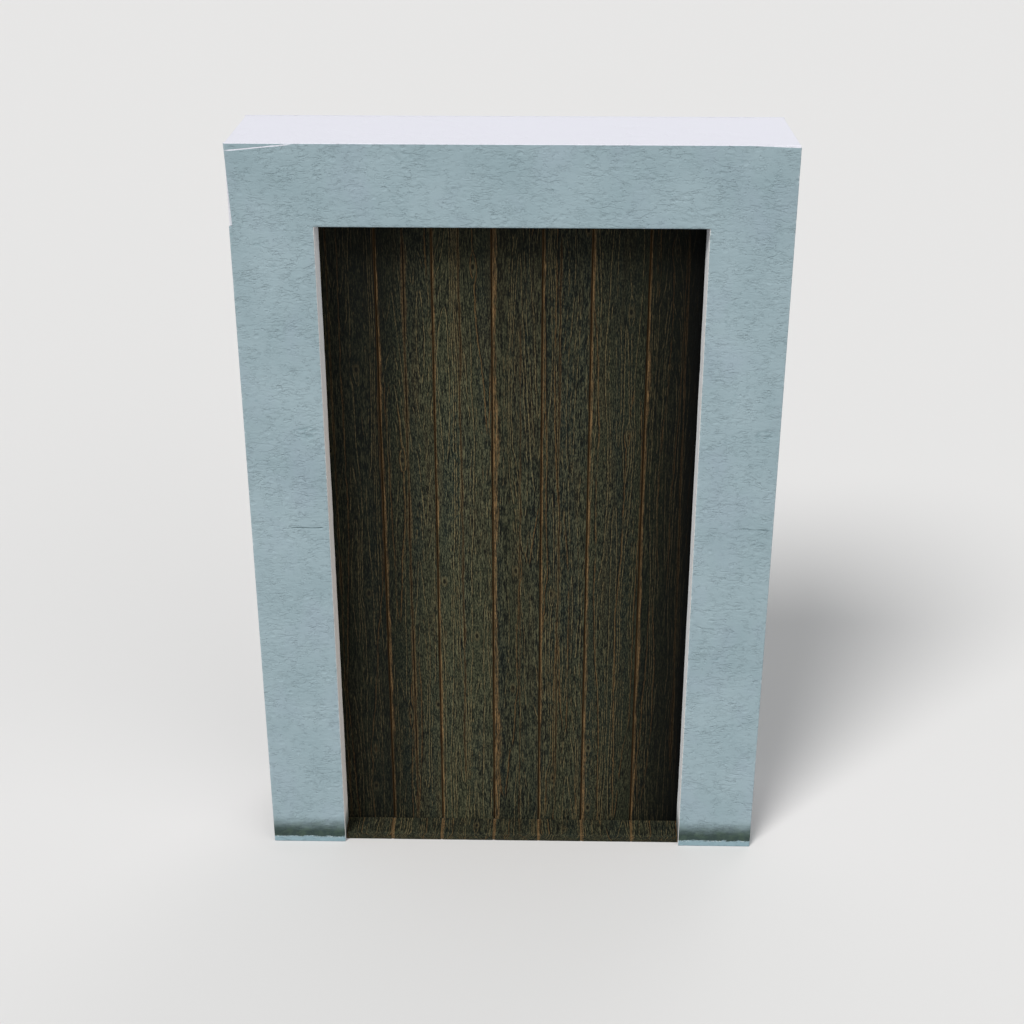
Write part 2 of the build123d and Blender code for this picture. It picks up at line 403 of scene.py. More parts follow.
def plasterReliefTree():
    inputs = [
        ("Geometry", "NodeSocketGeometry", None),
        ("Material", "NodeSocketMaterial", None),
        ("Seed", "NodeSocketFloat", 0.0),
        ("Outward", "NodeSocketVector", (0.0, 0.0, 0.0)),
        ("Fold Size", "NodeSocketFloat", 0.02),
        ("Fold Depth", "NodeSocketFloat", 0.0005),
        ("Sway Size", "NodeSocketFloat", 0.16),
        ("Sway Depth", "NodeSocketFloat", 0.001),
        ("Opening Side", "NodeSocketFloat", 0.525),
        ("Opening Top", "NodeSocketFloat", 1.988),
        ("Wall Side", "NodeSocketFloat", 0.75),
        ("Arris Wear", "NodeSocketFloat", 0.0),
        ("First Chip", "NodeSocketVector", (0.0, 0.0, -9.0)),
        ("First Chip Reach", "NodeSocketFloat", 0.03),
        ("Second Chip", "NodeSocketVector", (0.0, 0.0, -9.0)),
        ("Second Chip Reach", "NodeSocketFloat", 0.03),
        ("Chip Depth", "NodeSocketFloat", 0.0),
        ("Crack Place", "NodeSocketVector", (0.0, 0.0, -9.0)),
        ("Crack Slope", "NodeSocketFloat", 0.0),
        ("Crack Wander", "NodeSocketFloat", 0.0015),
        ("Crack Reach", "NodeSocketFloat", 0.1),
        ("Crack Width", "NodeSocketFloat", 0.003),
        ("Crack Depth", "NodeSocketFloat", 0.0),
        ("Crack Chalk", "NodeSocketFloat", 0.0),
    ]
    tree, given, end = newGroup("plasterRelief", "GeometryNodeTree", inputs,
                                [("Geometry", "NodeSocketGeometry")])
    place = tree.nodes.new("GeometryNodeInputPosition").outputs[0]
    normal = tree.nodes.new("GeometryNodeInputNormal").outputs[0]
    shift = joinAxes(tree, given["Seed"], given["Seed"], given["Seed"])
    seeded = vectorCalc(tree, "ADD", place, shift)
    axes = splitAxes(tree, place)
    across = calc(tree, "ABSOLUTE", axes[0])

    folds = trowelFolds(tree, seeded, given["Fold Size"])
    sway = noise(tree, seeded, calc(tree, "DIVIDE", 1.0, given["Sway Size"]), 1.0)
    hollows = calc(tree, "MULTIPLY_ADD", dents(tree, seeded, foldLook["dentSize"]), 1.1, folds)
    depth = calc(tree, "MULTIPLY", calc(tree, "ADD", hollows, 0.4), given["Fold Depth"])
    depth = calc(tree, "MULTIPLY_ADD", sway, given["Sway Depth"], depth)

    # small pits where the trowel dragged a grain out
    cells = addNode(tree, "ShaderNodeTexVoronoi", {"Vector": seeded, "Scale": 55.0}).outputs
    isPit = remap(tree, splitAxes(tree, cells["Color"])[0], 0.88, 0.91)
    pit = calc(tree, "MULTIPLY", isPit, remap(tree, cells["Distance"], 0.10, 0.30, 1.0, 0.0, True))
    depth = calc(tree, "MULTIPLY_ADD", pit, calc(tree, "MULTIPLY", given["Fold Depth"], 1.4), depth)

    # worn arrises, measured from the wall's ends and from the doorway, and not where two coats meet
    fromEnd = calc(tree, "SUBTRACT", given["Wall Side"], across)
    fromSide = calc(tree, "SUBTRACT", across, given["Opening Side"])
    fromHead = calc(tree, "SUBTRACT", axes[2], given["Opening Top"])
    edgeGap = calc(tree, "MINIMUM", fromEnd, calc(tree, "MAXIMUM", fromSide, fromHead))
    wearNoise = noise(tree, seeded, 38.0, 3.0, 0.6)
    wearReach = remap(tree, wearNoise, 0.35, 0.75, 0.003, 0.009)
    wear = remap(tree, edgeGap, 0.0, wearReach, 1.0, 0.0, True)
    wear = calc(tree, "MULTIPLY", wear, remap(tree, wearNoise, 0.4, 0.7, 0.2, 1.0))
    depth = calc(tree, "MULTIPLY_ADD", wear, given["Arris Wear"], depth)

    # chipped patches have a broken bed of small steps
    patches = [raggedPatch(tree, place, seeded, given[f"{which} Chip"], given[f"{which} Chip Reach"])
               for which in ("First", "Second")]
    patch = calc(tree, "MAXIMUM", *patches)
    bed = noise(tree, stretched(tree, seeded, (0.6, 0.6, 1.0)), 120.0, 2.0, 0.6, 0.6)
    chip = calc(tree, "MULTIPLY", patch, remap(tree, bed, 0.46, 0.56, 0.0, 1.0, True))
    depth = calc(tree, "MULTIPLY_ADD", chip, given["Chip Depth"], depth)

    # the crack wanders a little about a straight line and fades at its ends
    crackAway = splitAxes(tree, vectorCalc(tree, "SUBTRACT", place, given["Crack Place"]))
    wander = calc(tree, "MULTIPLY", remap(tree, noise(tree, seeded, 30.0, 4.0, 0.6), 0.0, 1.0, -2.0, 2.0),
                  given["Crack Wander"])
    line = calc(tree, "MULTIPLY_ADD", crackAway[0], given["Crack Slope"], wander)
    crackGap = calc(tree, "SUBTRACT", crackAway[2], line)
    crack = remap(tree, calc(tree, "ABSOLUTE", crackGap), 0.0, given["Crack Width"], 1.0, 0.0, True)
    along = calc(tree, "DIVIDE", calc(tree, "ABSOLUTE", crackAway[0]), given["Crack Reach"])
    broken = remap(tree, noise(tree, stretched(tree, seeded, (1.0, 0.0, 0.0)), 24.0, 1.0), 0.40, 0.55, 0.25)
    broken = calc(tree, "MAXIMUM", broken, given["Crack Chalk"])
    fade = calc(tree, "MULTIPLY", broken, remap(tree, along, 0.85, 1.0, 1.0, 0.0))
    crack = calc(tree, "MULTIPLY", crack, fade)
    depth = calc(tree, "MULTIPLY_ADD", crack, given["Crack Depth"], depth)

    # a coat only moves straight in, so that two coats still meet, and bare masonry along its normal
    facing = remap(tree, vectorCalc(tree, "DOT_PRODUCT", normal, given["Outward"]), 0.02, 0.2)
    anyWay = calc(tree, "LESS_THAN", vectorCalc(tree, "LENGTH", given["Outward"]), 0.5)
    way = vectorCalc(tree, "ADD", vectorCalc(tree, "SCALE", given["Outward"], facing),
                     vectorCalc(tree, "SCALE", normal, anyWay))
    offset = vectorCalc(tree, "SCALE", way, calc(tree, "MULTIPLY", depth, -1.0))
    geometry = given["Geometry"]
    for name, value in (("chipped", chip), ("crackGap", crackGap), ("crackFade", fade),
                        ("crackChalk", given["Crack Chalk"]), ("worn", wear), ("pitted", pit)):
        geometry = storeValue(tree, geometry, name, value)
    moved = addNode(tree, "GeometryNodeSetPosition",
                    {"Geometry": geometry, "Offset": offset})
    finishTree(tree, moved.outputs[0], given["Material"], end)
    return tree


# Relief of weathered timber: fibres, cupping, worn arrises and a split in most boards


def splitAlong(tree, given, turned):
    # how far a point is from the board's split, in half widths, and how open the split is there
    axes = splitAxes(tree, turned)
    line = joinAxes(tree, given["Seed"], z=axes[2])
    slow = remap(tree, noise(tree, line, 3.0, 3.0, 0.55), 0.0, 1.0, -2.0, 2.0)
    quick = remap(tree, noise(tree, line, 34.0, 3.0, 0.6), 0.0, 1.0, -0.5, 0.5)
    path = calc(tree, "MULTIPLY_ADD", calc(tree, "ADD", slow, quick), given["Split Wander"],
                given["Split Across"])
    path = calc(tree, "MULTIPLY_ADD", calc(tree, "SUBTRACT", axes[2], given["Split From"]),
                given["Split Slope"], path)
    swell = remap(tree, noise(tree, line, 9.0, 2.0), 0.3, 0.7, 0.4, 1.3)
    swell = calc(tree, "MULTIPLY", given["Split Width"], swell)
    gap = calc(tree, "DIVIDE", calc(tree, "SUBTRACT", axes[0], path), swell)
    fadeIn = remap(tree, calc(tree, "SUBTRACT", axes[2], given["Split From"]), 0.0, 0.06)
    fadeOut = remap(tree, calc(tree, "SUBTRACT", given["Split To"], axes[2]), 0.0, 0.06)
    return gap, calc(tree, "MULTIPLY", fadeIn, fadeOut)


def timberReliefTree():
    inputs = [
        ("Geometry", "NodeSocketGeometry", None),
        ("Material", "NodeSocketMaterial", None),
        ("Seed", "NodeSocketFloat", 0.0),
        ("Left Tone And Shade", "NodeSocketFloat", 0.8),
        ("Right Tone And Shade", "NodeSocketFloat", 0.8),
        ("Back Tone", "NodeSocketFloat", 0.0),
        ("Grain Turn", "NodeSocketVector", (0.0, 0.0, 0.0)),
        ("Left Arris", "NodeSocketFloat", 0.0),
        ("Right Arris", "NodeSocketFloat", 0.0),
        ("Fibre Depth", "NodeSocketFloat", 0.0008),
        ("Cup Depth", "NodeSocketFloat", 0.001),
        ("Arris Wear", "NodeSocketFloat", 0.0015),
        ("Wear All Round", "NodeSocketFloat", 0.0),
        ("Seam Close", "NodeSocketFloat", 0.0),
        ("Seam Wide", "NodeSocketFloat", 0.006),
        ("Split Depth", "NodeSocketFloat", 0.0),
        ("Split Across", "NodeSocketFloat", 9.0),
        ("Split Slope", "NodeSocketFloat", 0.0),
        ("Split Wander", "NodeSocketFloat", 0.003),
        ("Split Width", "NodeSocketFloat", 0.003),
        ("Split From", "NodeSocketFloat", 0.0),
        ("Split To", "NodeSocketFloat", 0.0),
    ]
    tree, given, end = newGroup("timberRelief", "GeometryNodeTree", inputs,
                                [("Geometry", "NodeSocketGeometry")])
    place = tree.nodes.new("GeometryNodeInputPosition").outputs[0]
    normal = tree.nodes.new("GeometryNodeInputNormal").outputs[0]
    turned = addNode(tree, "ShaderNodeVectorRotate", {"Vector": place, "Rotation": given["Grain Turn"]},
                     rotation_type="EULER_XYZ").outputs[0]
    shift = joinAxes(tree, *(calc(tree, "MULTIPLY", given["Seed"], share) for share in (3.1, 1.7, 5.3)))
    grain = vectorCalc(tree, "ADD", turned, shift)
    axes = splitAxes(tree, turned)

    fibre = noise(tree, stretched(tree, grain, (130.0, 130.0, 7.0)), 1.0, 3.0, 0.6, 0.3)
    broad = noise(tree, stretched(tree, grain, (24.0, 24.0, 1.6)), 1.0, 2.0, 0.5)
    depth = calc(tree, "MULTIPLY", fibre, given["Fibre Depth"])
    depth = calc(tree, "MULTIPLY_ADD", broad, given["Cup Depth"], depth)

    fromLeft = calc(tree, "SUBTRACT", axes[0], given["Left Arris"])
    fromRight = calc(tree, "SUBTRACT", given["Right Arris"], axes[0])
    nearest = calc(tree, "MINIMUM", fromLeft, fromRight)
    wearNoise = noise(tree, stretched(tree, grain, (30.0, 30.0, 14.0)), 1.0, 3.0, 0.6)
    wearReach = remap(tree, wearNoise, 0.3, 0.75, 0.002, 0.009)
    wear = calc(tree, "MULTIPLY", remap(tree, nearest, 0.0, wearReach, 1.0, 0.0, True),
                remap(tree, wearNoise, 0.35, 0.7, 0.2, 1.0))
    depth = calc(tree, "MULTIPLY_ADD", wear, given["Arris Wear"], depth)

    splitGap, splitFade = splitAlong(tree, given, turned)
    split = remap(tree, calc(tree, "ABSOLUTE", splitGap), 0.0, 1.0, 1.0, 0.0, True)
    front = remap(tree, splitAxes(tree, normal)[1], -0.7, -0.3, 1.0, 0.0)
    splitFade = calc(tree, "MULTIPLY", splitFade, front)
    split = calc(tree, "MULTIPLY", split, splitFade)
    depth = calc(tree, "MULTIPLY_ADD", split, given["Split Depth"], depth)

    # old boards touch in places, so each side creeps unevenly towards its neighbour
    line = joinAxes(tree, given["Seed"], z=axes[2])
    creeps = []
    for gap, offset, way in ((fromLeft, 0.0, -1.0), (fromRight, 7.0, 1.0)):
        along = vectorCalc(tree, "ADD", line, (offset, 0.0, 0.0))
        amount = remap(tree, noise(tree, along, 7.0, 3.0, 0.6), 0.35, 0.65, 0.15, 1.0)
        reach = remap(tree, calc(tree, "ABSOLUTE", gap), 0.0, 0.004, way, 0.0)
        creeps.append(calc(tree, "MULTIPLY", amount, reach))
    creep = calc(tree, "MULTIPLY", calc(tree, "ADD", *creeps), given["Seam Close"])

    whole = calc(tree, "ADD", calc(tree, "ADD", fromLeft, fromRight), 1e-6)
    share = calc(tree, "DIVIDE", fromLeft, whole)
    share = calc(tree, "ADD", share, 0.0, clamp=True)
    # the tone runs across the board from left to right, and near the doorway's corners it is partly painted
    # shade
    toneRise = calc(tree, "SUBTRACT", given["Right Tone And Shade"], given["Left Tone And Shade"])
    toneAndShade = calc(tree, "MULTIPLY_ADD", toneRise, share, given["Left Tone And Shade"])
    # the painted shade in the corners of the doorway is only on the front
    notFront = remap(tree, splitAxes(tree, normal)[1], -0.5, 0.0)
    toneAndShade = calc(tree, "MAXIMUM", toneAndShade, calc(tree, "MULTIPLY", notFront, given["Back Tone"]))
    onFace = remap(tree, calc(tree, "ABSOLUTE", splitAxes(tree, normal)[1]), 0.15, 0.45)
    onFace = calc(tree, "MAXIMUM", onFace, given["Wear All Round"])
    geometry = storeValue(tree, given["Geometry"], "grainPlace", grain, "FLOAT_VECTOR")
    for name, value in (("toneAndShade", toneAndShade), ("onFace", onFace), ("fromLeft", fromLeft),
                        ("fromRight", fromRight), ("splitGap", splitGap), ("splitFade", splitFade),
                        ("seamWide", given["Seam Wide"])):
        geometry = storeValue(tree, geometry, name, value)
    offset = vectorCalc(tree, "SCALE", normal, calc(tree, "MULTIPLY", depth, -1.0))
    offset = vectorCalc(tree, "ADD", offset, joinAxes(tree, creep))
    moved = addNode(tree, "GeometryNodeSetPosition", {"Geometry": geometry, "Offset": offset})
    finishTree(tree, moved.outputs[0], given["Material"], end)
    return tree


def ironReliefTree():
    # hammer marks on forged iron
    inputs = [
        ("Geometry", "NodeSocketGeometry", None),
        ("Material", "NodeSocketMaterial", None),
        ("Mark Size", "NodeSocketFloat", 0.014),
        ("Mark Depth", "NodeSocketFloat", 0.0005),
    ]
    tree, given, end = newGroup("ironRelief", "GeometryNodeTree", inputs,
                                [("Geometry", "NodeSocketGeometry")])
    place = tree.nodes.new("GeometryNodeInputPosition").outputs[0]
    normal = tree.nodes.new("GeometryNodeInputNormal").outputs[0]
    scale = calc(tree, "DIVIDE", 1.0, given["Mark Size"])
    cells = addNode(tree, "ShaderNodeTexVoronoi", {"Vector": place, "Scale": scale}, feature="SMOOTH_F1")
    dent = remap(tree, cells.outputs["Distance"], 0.0, 0.7, 1.0, 0.0, True)
    depth = calc(tree, "MULTIPLY", dent, calc(tree, "MULTIPLY", given["Mark Depth"], -1.0))
    moved = addNode(tree, "GeometryNodeSetPosition",
                    {"Geometry": given["Geometry"], "Offset": vectorCalc(tree, "SCALE", normal, depth)})
    finishTree(tree, moved.outputs[0], given["Material"], end)
    return tree


def studTree():
    # forged heads set on the points of a mesh, each turned and sized a little differently
    inputs = [
        ("Geometry", "NodeSocketGeometry", None),
        ("Material", "NodeSocketMaterial", None),
        ("Radius", "NodeSocketFloat", 0.006),
        ("Rise", "NodeSocketFloat", 0.003),
        ("Sides", "NodeSocketInt", 6),
        ("Seed", "NodeSocketInt", 1),
    ]
    tree, given, end = newGroup("studs", "GeometryNodeTree", inputs, [("Geometry", "NodeSocketGeometry")])
    head = addNode(tree, "GeometryNodeMeshCone", {
        "Vertices": given["Sides"],
        "Side Segments": 2,
        "Radius Top": calc(tree, "MULTIPLY", given["Radius"], 0.38),
        "Radius Bottom": given["Radius"],
        "Depth": given["Rise"]}).outputs["Mesh"]
    turn = addNode(tree, "FunctionNodeRandomValue", {"Min": 0.0, "Max": 6.28, "Seed": given["Seed"]},
                   data_type="FLOAT")
    turnOut = next(socket for socket in turn.outputs if socket.enabled)
    spin = joinAxes(tree, -math.pi / 2, turnOut)
    size = addNode(tree, "FunctionNodeRandomValue", {"Min": 0.85, "Max": 1.1, "Seed": given["Seed"]},
                   data_type="FLOAT")
    sizeOut = next(socket for socket in size.outputs if socket.enabled)
    placed = addNode(tree, "GeometryNodeInstanceOnPoints",
                     {"Points": given["Geometry"], "Instance": head, "Rotation": spin, "Scale": sizeOut})
    finishTree(tree, placed.outputs[0], given["Material"], end)
    return tree


# Shader groups that several materials share


def groundGrimeGroup():
    # dark damp dirt in a band above the foot of the wall, with a cleaner strip under it
    inputs = [
        ("Vector", "NodeSocketVector", (0.0, 0.0, 0.0)),
        ("Strip Top", "NodeSocketFloat", 0.019),
        ("Dark Top", "NodeSocketFloat", 0.036),
        ("Fade Top", "NodeSocketFloat", 0.104),
    ]
    outputs = [(name, "NodeSocketFloat") for name in ("Band", "Strip", "Fleck")]
    tree, given, end = newGroup("groundGrime", "ShaderNodeTree", inputs, outputs)
    height = splitAxes(tree, given["Vector"])[2]
    ragged = noise(tree, stretched(tree, given["Vector"], (1.0, 1.0, 2.0)), 60.0, 4.0, 0.65)
    lower = calc(tree, "ADD", height, remap(tree, ragged, 0.0, 1.0, -0.010, 0.010))
    strip = remap(tree, lower, calc(tree, "SUBTRACT", given["Strip Top"], 0.004),
                  calc(tree, "ADD", given["Strip Top"], 0.004), 1.0, 0.0, True)
    wide = noise(tree, stretched(tree, given["Vector"], (1.0, 1.0, 2.2)), 22.0, 4.0, 0.6)
    upper = calc(tree, "ADD", height, remap(tree, wide, 0.0, 1.0, -0.016, 0.016))
    fade = remap(tree, upper, given["Dark Top"], given["Fade Top"], 1.0, 0.0, True)
    band = calc(tree, "MULTIPLY", fade, calc(tree, "SUBTRACT", 1.0, strip))
    edge = calc(tree, "MULTIPLY", strip, calc(tree, "SUBTRACT", 1.0, strip))
    crumbs = remap(tree, noise(tree, given["Vector"], 190.0, 2.0, 0.6), 0.52, 0.62)
    tree.links.new(band, end["Band"])
    tree.links.new(strip, end["Strip"])
    crumbs = calc(tree, "MULTIPLY", edge, calc(tree, "MULTIPLY", crumbs, 3.0), clamp=True)
    tree.links.new(crumbs, end["Fleck"])
    return tree


def plasterSkinGroup():
    # cloudy tone and fine trowel texture, from broad patches down to sand grains
    inputs = [
        ("Vector", "NodeSocketVector", (0.0, 0.0, 0.0)),
        ("Cloud Size", "NodeSocketFloat", 0.22),
        ("Fold Size", "NodeSocketFloat", 0.02),
    ]
    outputs = [("Cloud", "NodeSocketFloat"), ("Speck", "NodeSocketFloat"), ("Height", "NodeSocketFloat")]
    tree, given, end = newGroup("plasterSkin", "ShaderNodeTree", inputs, outputs)
    cloud = noise(tree, given["Vector"], calc(tree, "DIVIDE", 1.0, given["Cloud Size"]), 4.0, 0.55)
    flat = stretched(tree, given["Vector"], (0.5, 0.5, 1.0))
    speck = remap(tree, noise(tree, flat, 190.0, 3.0, 0.7), 0.62, 0.74)
    folds = trowelFolds(tree, given["Vector"], given["Fold Size"])
    small = trowelFolds(tree, given["Vector"], calc(tree, "MULTIPLY", given["Fold Size"], 0.42))
    hollow = calc(tree, "ADD", dents(tree, given["Vector"], foldLook["dentSize"]),
                  dents(tree, given["Vector"], foldLook["smallDentSize"]))
    folds = calc(tree, "ADD", calc(tree, "MULTIPLY", folds, 0.9), calc(tree, "MULTIPLY", hollow, 0.65))
    sand = noise(tree, given["Vector"], 420.0, 3.0, 0.7)
    # the depth goes down into the wall, as it does in the relief
    height = calc(tree, "MULTIPLY", calc(tree, "MULTIPLY_ADD", small, 0.6, folds), -1.0)
    height = calc(tree, "MULTIPLY_ADD", sand, 0.30, height)
    tree.links.new(cloud, end["Cloud"])
    tree.links.new(speck, end["Speck"])
    tree.links.new(height, end["Height"])
    return tree


# noise sizes are in cells a metre, across, through and along the grain, and the knots' grid is in cells
# a metre across and along it
grainLook = {
    "knotGrid": (11.0, 6.0, 0.0),
    "knotShare": 0.14,
    "knotPush": 8 * mm,
    "bendSize": (9.0, 9.0, 2.4),
    "bendReach": 14 * mm,
    "fleckSize": (390.0, 390.0, 120.0),
    "streakSize": (370.0, 370.0, 32.0),
    "strongSize": (34.0, 34.0, 4.0),
    "stainSize": (15.0, 15.0, 1.1),
    "warmSize": (26.0, 26.0, 2.3),
    "roughSize": (60.0, 60.0, 26.0),
    "roughReach": 4 * mm,
    "lines": {"size": (10.0, 10.0, 0.5), "count": 27.0, "halfWidth": 1.5 * mm,
              "breaks": (60.0, 60.0, 28.0)},
    "veins": {"size": (8.0, 8.0, 0.36), "count": 6.0, "halfWidth": 1.9 * mm,
              "breaks": (45.0, 45.0, 9.0)},
    "veinShift": (3.7, 1.3, 0.0),
}


def growthLines(tree, vector, size, count, halfWidth, breaks):
    # lines of one width along the levels of a stretched noise, each broken and kept or lost by chance
    reach = 0.4 * mm
    level = noise(tree, stretched(tree, vector, size), 1.0, 2.0, 0.45)
    ahead = vectorCalc(tree, "ADD", vector, (reach, 0.0, 0.0))
    nextLevel = noise(tree, stretched(tree, ahead, size), 1.0, 2.0, 0.45)
    slope = calc(tree, "MULTIPLY", calc(tree, "SUBTRACT", nextLevel, level), count / reach)
    steps = calc(tree, "MULTIPLY", level, count)
    slope = calc(tree, "MAXIMUM", calc(tree, "ABSOLUTE", slope), 1.0)
    gap = calc(tree, "DIVIDE", calc(tree, "SUBTRACT", calc(tree, "FRACT", steps), 0.5), slope)
    chance = addNode(tree, "ShaderNodeTexWhiteNoise", {"W": calc(tree, "FLOOR", steps)},
                     noise_dimensions="1D").outputs["Value"]
    broken = noise(tree, stretched(tree, vector, breaks), 1.0, 3.0, 0.6)
    kept = remap(tree, calc(tree, "MULTIPLY_ADD", chance, 0.22, broken), 0.52, 0.66)
    # a line fades where it would turn back
    kept = calc(tree, "MULTIPLY", kept, remap(tree, slope, count * 0.5, count * 1.4))
    line = remap(tree, calc(tree, "ABSOLUTE", gap), halfWidth * 0.4, halfWidth, 1.0, 0.0, True)
    # a painted shadow down one side of each line
    beside = calc(tree, "ABSOLUTE", calc(tree, "ADD", gap, halfWidth * 1.5))
    shade = remap(tree, beside, halfWidth * 0.3, halfWidth, 1.0, 0.0, True)
    return calc(tree, "MULTIPLY", line, kept), calc(tree, "MULTIPLY", shade, kept)


def weatheredGrainGroup(look):
    # streaks, growth lines, broad stains and a few knots, with the grain along z
    inputs = [("Vector", "NodeSocketVector", (0.0, 0.0, 0.0))]
    names = ("Fleck", "Streak", "Line", "Vein", "VeinShade", "Stain", "Warm", "Knot", "KnotRim", "Height")
    outputs = [(name, "NodeSocketFloat") for name in names]
    tree, given, end = newGroup("weatheredGrain", "ShaderNodeTree", inputs, outputs)
    vector = given["Vector"]
    # a knot pushes the grain aside
    axes = splitAxes(tree, vector)
    flat = stretched(tree, joinAxes(tree, axes[0], axes[2]), look["knotGrid"])
    cells = addNode(tree, "ShaderNodeTexVoronoi", {"Vector": flat, "Scale": 1.0},
                    voronoi_dimensions="2D").outputs
    some = calc(tree, "GREATER_THAN", splitAxes(tree, cells["Color"])[0], 1 - look["knotShare"])
    away = vectorCalc(tree, "SUBTRACT", flat, cells["Position"])
    near = calc(tree, "MULTIPLY", some, remap(tree, cells["Distance"], 0.04, 0.36, 1.0, 0.0, True))
    push = calc(tree, "MULTIPLY", calc(tree, "SIGN", splitAxes(tree, away)[0]),
                calc(tree, "MULTIPLY", near, -look["knotPush"]))
    bend = noise(tree, stretched(tree, vector, look["bendSize"]), 1.0, 2.0)
    bend = calc(tree, "ADD", remap(tree, bend, 0.0, 1.0, -look["bendReach"], look["bendReach"]), push)
    waved = vectorCalc(tree, "ADD", vector, joinAxes(tree, bend))
    fleck = noise(tree, stretched(tree, waved, look["fleckSize"]), 1.0, 1.0, 0.7)
    streak = noise(tree, stretched(tree, waved, look["streakSize"]), 1.0, 2.0, 0.8)
    # where the streaks are strong and where the wood is smooth
    strong = noise(tree, stretched(tree, waved, look["strongSize"]), 1.0, 2.0, 0.5)
    strong = remap(tree, strong, 0.36, 0.64, 0.6, 1.5)
    streak = calc(tree, "MULTIPLY", calc(tree, "SUBTRACT", streak, 0.5), strong)
    stain = noise(tree, stretched(tree, waved, look["stainSize"]), 1.0, 3.0, 0.5)
    warmBounceAndFill = noise(tree, stretched(tree, waved, look["warmSize"]), 1.0, 3.0, 0.6)
    rough = noise(tree, stretched(tree, vector, look["roughSize"]), 1.0, 3.0, 0.65)
    rough = remap(tree, rough, 0.0, 1.0, -look["roughReach"], look["roughReach"])
    rings = vectorCalc(tree, "ADD", waved, joinAxes(tree, rough))
    line, lineShade = growthLines(tree, rings, **look["lines"])
    veinRings = vectorCalc(tree, "ADD", rings, look["veinShift"])
    vein, veinShade = growthLines(tree, veinRings, **look["veins"])
    knot = calc(tree, "MULTIPLY", some, remap(tree, cells["Distance"], 0.03, 0.065, 0.9, 0.0, True))
    knotRim = calc(tree, "MULTIPLY", some, remap(tree, cells["Distance"], 0.07, 0.13, 1.0, 0.0, True))
    height = calc(tree, "MULTIPLY_ADD", fleck, 0.5, streak)
    height = calc(tree, "SUBTRACT", height, calc(tree, "MULTIPLY", veinShade, 0.4))
    height = calc(tree, "SUBTRACT", height, knot)
    for name, value in (("Fleck", fleck), ("Streak", streak), ("Line", line), ("Vein", vein),
                        ("VeinShade", calc(tree, "MAXIMUM", veinShade, lineShade)),
                        ("Stain", stain), ("Warm", warmBounceAndFill), ("Knot", knot), ("KnotRim", knotRim),
                        ("Height", height)):
        tree.links.new(value, end[name])
    return tree


# Materials


def attribute(tree, name, output="Fac"):
    return addNode(tree, "ShaderNodeAttribute", attribute_name=name).outputs[output]


def bump(tree, shader, height, distance):
    node = addNode(tree, "ShaderNodeBump", {"Height": height, "Distance": distance, "Strength": 1.0})
    tree.links.new(node.outputs[0], shader.inputs["Normal"])


bluePlasterLook = {
    "coat": fromScreen(153, 171, 176),
    "lilac": fromScreen(153, 165, 178),
    "shade": fromScreen(133, 153, 158),
    "chalk": fromScreen(205, 214, 216),
    "crack": fromScreen(84, 100, 104),
    "lime": fromScreen(228, 227, 234),
    "grime": fromScreen(56, 70, 66),
    "moss": fromScreen(72, 88, 76),
    "strip": fromScreen(140, 164, 171),
    "crumb": fromScreen(196, 206, 206),
    "topDustAndShade": fromScreen(213, 212, 219),
    "rubbedAndLit": fromScreen(244, 239, 234),
    "crackWidth": 1.9 * mm,
    "limeAbove": 2.19,
    "innerFace": 0.1695,
    "doorwaySide": 0.6,
    "foldSize": 11 * mm,
    "foldBump": 0.95 * mm,
    "roughness": 0.92,
    "shine": 0.2,
}

whitePlasterLook = {
    "lime": fromScreen(228, 227, 232),
    "dust": fromScreen(219, 217, 221),
    "topDustAndShade": fromScreen(213, 212, 219),
    "warmBounceAndFill": fromScreen(252, 243, 234),
    "cool": fromScreen(251, 251, 250),
    "grime": fromScreen(70, 80, 74),
    "moss": fromScreen(110, 120, 108),
    "strip": fromScreen(150, 172, 180),
    "crumb": fromScreen(205, 205, 205),
    "doorwaySide": 0.6,
    "foldSize": 30 * mm,
    "foldBump": 0.5 * mm,
    "roughness": 0.9,
    "shine": 0.2,
}

timberLook = {
    "olive": fromScreen(53, 57, 42),
    "coldStain": fromScreen(36, 46, 41),
    "brownStain": fromScreen(62, 54, 38),
    "paleFibre": fromScreen(104, 102, 76),
    "darkFibre": fromScreen(8, 10, 8),
    "line": fromScreen(128, 114, 80),
    "vein": fromScreen(112, 86, 52),
    "seamWear": fromScreen(118, 92, 60),
    "seamDirt": fromScreen(14, 11, 7),
    "damp": (0.80, 1.0, 0.90, 1.0),
    "fibreHold": 0.88,
    "bareHold": 0.65,
    "seamHold": 0.25,
    # painted shadow under the head of the doorway: where it starts, where it is full, and how dark it gets
    "sootFrom": 1.45,
    "sootFull": 2.02,
    "sootShade": 0.53,
    "fibreBump": 1.6 * mm,
    # widths along the arrises: whole wear then strands, dirt, and wear with painted light on the right
    "wholeWear": (2.0 * mm, 4.5 * mm),
    "dirtReach": (3.0 * mm, 6.5 * mm),
    "rightWearAndLight": (2.2 * mm, 3.0 * mm),
    "roughness": 0.85,
    "shine": 0.10,
}

ironLook = {
    "scale": fromScreen(38, 37, 37),
    "rust": fromScreen(82, 50, 32),
    "bright": fromScreen(84, 82, 80),
    "roughness": (0.45, 0.85),
    "shine": 0.4,
    "metal": 0.55,
    "scaleBump": 0.3 * mm,
}


def coverWithGrime(tree, look, colour, where, grime, strength):
    # the dirt at the wall's foot, over any plaster colour
    dirt = useGroup(tree, grime, {"Vector": where})
    mossy = remap(tree, noise(tree, where, 34.0, 3.0), 0.45, 0.7)
    dirtColour = mixColour(tree, mossy, look["grime"], look["moss"])
    colour = mixColour(tree, calc(tree, "MULTIPLY", dirt["Band"], strength), colour, dirtColour)
    colour = mixColour(tree, dirt["Strip"], colour, look["strip"])
    return mixColour(tree, dirt["Fleck"], colour, look["crumb"])


